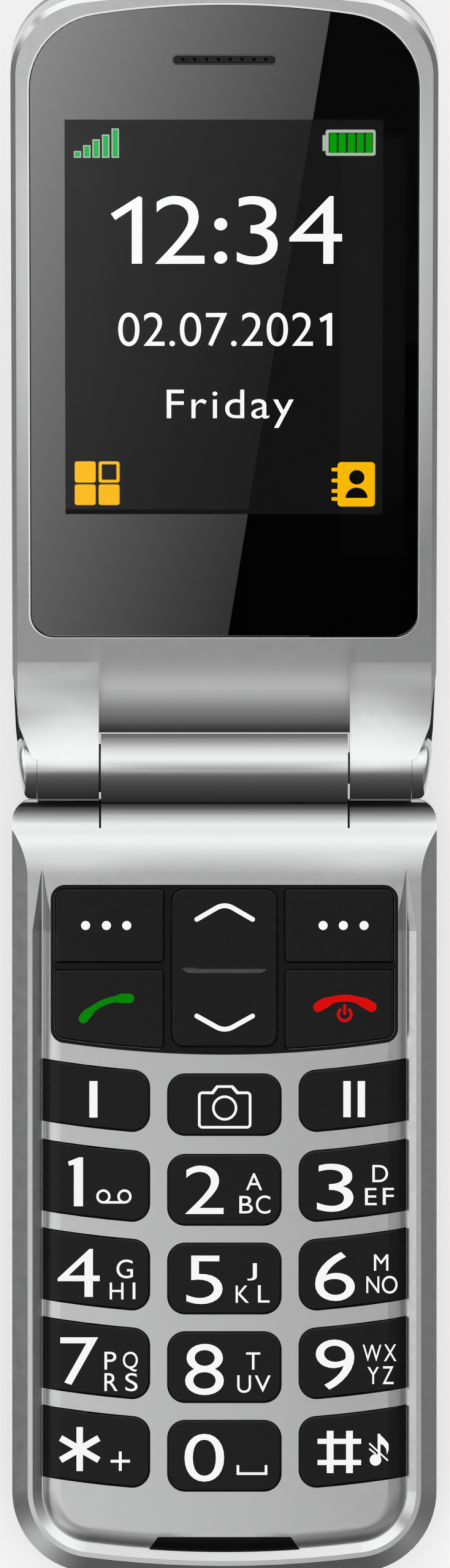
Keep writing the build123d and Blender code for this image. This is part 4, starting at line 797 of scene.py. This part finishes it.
def window_lamp():
    """The light that the display window mirrors: it grows dimmer downwards and to the right in the picture."""
    material, tree, glow = lamp_shade("window lamp")
    coords = tree.nodes.new("ShaderNodeTexCoord")
    split = tree.nodes.new("ShaderNodeSeparateXYZ")
    tree.links.new(coords.outputs["Object"], split.inputs[0])
    left, right = (glanced(x, 520, FAR).x * MM for x in (90, 520))
    top, bottom = (glanced(366, y, FAR).y * MM for y in (60, 1010))
    across = faded(tree, split.outputs["X"], left, right, 0.533, 0.314)
    down = faded(tree, split.outputs["Y"], top, bottom, 0, -0.177)
    tone = math_node(tree, "POWER", math_node(tree, "ADD", across, down), 2.2)
    tree.links.new(math_node(tree, "DIVIDE", tone, BORDER_GLOSS), glow.inputs["Strength"])
    return material


BLACK_CLOTH = surface("black cloth", (0.0005, 0.0005, 0.0005), 1.0, specular=0.0)
EDGE = [(554.4, -73), (357.2, 1127)]  # the slanted line in the picture between the light and the black half
card("window card", [glanced(*p, FAR) for p in ((-80, -73), *EDGE, (-80, 1127))], window_lamp(), True)
card("black flag", [glanced(*p, FAR) for p in (EDGE[0], (810, -73), (810, 1127), EDGE[1])], BLACK_CLOTH, True)
card("lid card", [glanced(*p, NEAR) for p in ((-900, -500), (1600, -500), (1600, 560), (-900, 560))],
     graded_lamp("lid lamp", "X", -30, 30, 1.0, 0.72))
card("deck card", [Vector((x, y, 600)) for x, y in ((-260, -145), (260, -145), (260, 9), (-260, 9))],
     graded_lamp("deck lamp", "X", -10, 25, 0.98, 0.36))
for side in (-1, 1):
    card(f"side flag {side}", [Vector((side * 105, y, z)) for y, z in ((-220, 0), (320, 0), (320, 55), (-220, 55))],
         plain_lamp(f"dark cloth {side}", 0.22))
    card(f"ear card {side}", [Vector((side * x, y, 80)) for x, y in ((14.5, 30), (22.5, 30), (22.5, 95), (14.5, 95))],
         graded_lamp(f"ear lamp {side}", "Y", 32, 60, 0.40, 1.6))


# the cards that the lid's lip, the back and the front of the barrel, and the shoulder mirror
upright_card("lip card", 54.3, 15.4, [
    (5.5, 0.03), (8.3, 0.05), (9.3, 0.09), (10.5, 0.17), (11.5, 0.235), (12.6, 0.29), (14.3, 0.40), (15.4, 0.48),
    (16.4, 0.57), (18.5, 0.66), (21.3, 0.79), (26.0, 0.42), (31.0, 0.25)])
upright_card("barrel back card", 54.2, 15.4, [
    (5.5, 0.04), (10.5, 0.06), (12.1, 0.24), (13.3, 0.50), (14.1, 0.79), (15.2, 1.12), (16.8, 1.34), (19.4, 1.48),
    (23.0, 1.30), (26.8, 1.03), (31.0, 0.85)])
upright_card("barrel front card", 45.6, 26, [
    (7.0, 0.004), (11.5, 0.006), (12.8, 0.010), (13.6, 0.018), (14.4, 0.03), (15.5, 0.045), (17.0, 0.07),
    (20.2, 0.11), (30.0, 0.28), (34.0, 0.34)])
upright_card("shoulder card", 45.5, 26, [
    (8.0, 0.05), (8.6, 0.14), (9.3, 0.35), (10.0, 0.60), (11.1, 0.90), (12.2, 1.25), (13.2, 1.50), (14.7, 1.33),
    (15.7, 1.30), (17.6, 1.52), (18.9, 1.55), (21.8, 1.42), (23.5, 1.35), (28.0, 1.20), (34.0, 1.0)])

# how bright the tent is towards -Y .. +Y, and by what that is multiplied towards -X .. +X
ALONG = [(-1.0, 0.03), (-0.94, 0.04), (-0.82, 0.08), (-0.72, 0.16), (-0.62, 0.28), (-0.55, 0.27), (-0.42, 0.20),
         (-0.20, 0.22), (-0.08, 0.28), (0.0, 0.46), (0.14, 0.75), (0.28, 1.10), (0.50, 1.60), (0.71, 1.58),
         (0.87, 1.2), (0.966, 0.7), (1.0, 0.4)]
ASIDE = [(-1.0, 0.8), (-0.96, 4.0), (-0.885, 3.8), (-0.84, 0.30), (-0.76, 0.30), (-0.69, 2.6), (-0.5, 3.2),
         (-0.3, 2.4), (-0.15, 1.3), (0.0, 1.0), (0.15, 1.0), (0.3, 1.3), (0.5, 1.2), (0.7, 1.1), (0.8, 0.55),
         (0.9, 0.3), (1.0, 0.25)]
TENT_SCALE, TENT_PEAK = 4.0, 1.55  # no stop above passes the first, and the tent is never brighter than the second


def make_studio():
    """A plain white room, and round the phone a tent of lit and dark cloth that only gloss and metal show."""
    world = bpy.data.worlds.new("room")
    bpy.context.scene.world = world
    world.use_nodes = True
    world.node_tree.nodes["Background"].inputs["Color"].default_value = (1, 1, 1, 1)
    work = bmesh.new()
    bmesh.ops.create_uvsphere(work, u_segments=48, v_segments=24, radius=3.0)
    mesh = bpy.data.meshes.new("tent")
    work.to_mesh(mesh)
    work.free()
    material, tree, glow = lamp_shade("tent cloth")
    coords = tree.nodes.new("ShaderNodeTexCoord")
    unit = tree.nodes.new("ShaderNodeVectorMath")
    unit.operation = "NORMALIZE"
    tree.links.new(coords.outputs["Object"], unit.inputs[0])
    split = tree.nodes.new("ShaderNodeSeparateXYZ")
    tree.links.new(unit.outputs[0], split.inputs[0])
    along = bands(tree, split.outputs["Y"], ALONG, TENT_SCALE)
    aside = bands(tree, split.outputs["X"], ASIDE, TENT_SCALE)
    level = math_node(tree, "MULTIPLY", math_node(tree, "MULTIPLY", along, aside), TENT_SCALE ** 2)
    tree.links.new(math_node(tree, "MINIMUM", level, TENT_PEAK), glow.inputs["Strength"])
    mesh.materials.append(material)
    tent = bpy.data.objects.new("tent", mesh)
    tent.location = HINGE * MM
    reflected_only(tent, True)


make_studio()

# ---- camera -------------------------------------------------------------------------------------
camera = bpy.data.cameras.new("camera")
camera.sensor_fit = "VERTICAL"
camera.sensor_height = 36
camera.lens = camera.sensor_height * CAMERA_BACK / (PICTURE_HEIGHT * PIXEL)
camera.clip_end = 60  # in metres
viewer = bpy.data.objects.new("camera", camera)
viewer.location = CAMERA_AT * MM
viewer.rotation_euler = (-CAMERA_LEAN, 0, 0)
bpy.context.scene.collection.objects.link(viewer)
bpy.context.scene.camera = viewer
bpy.context.scene.view_settings.view_transform = "Standard"
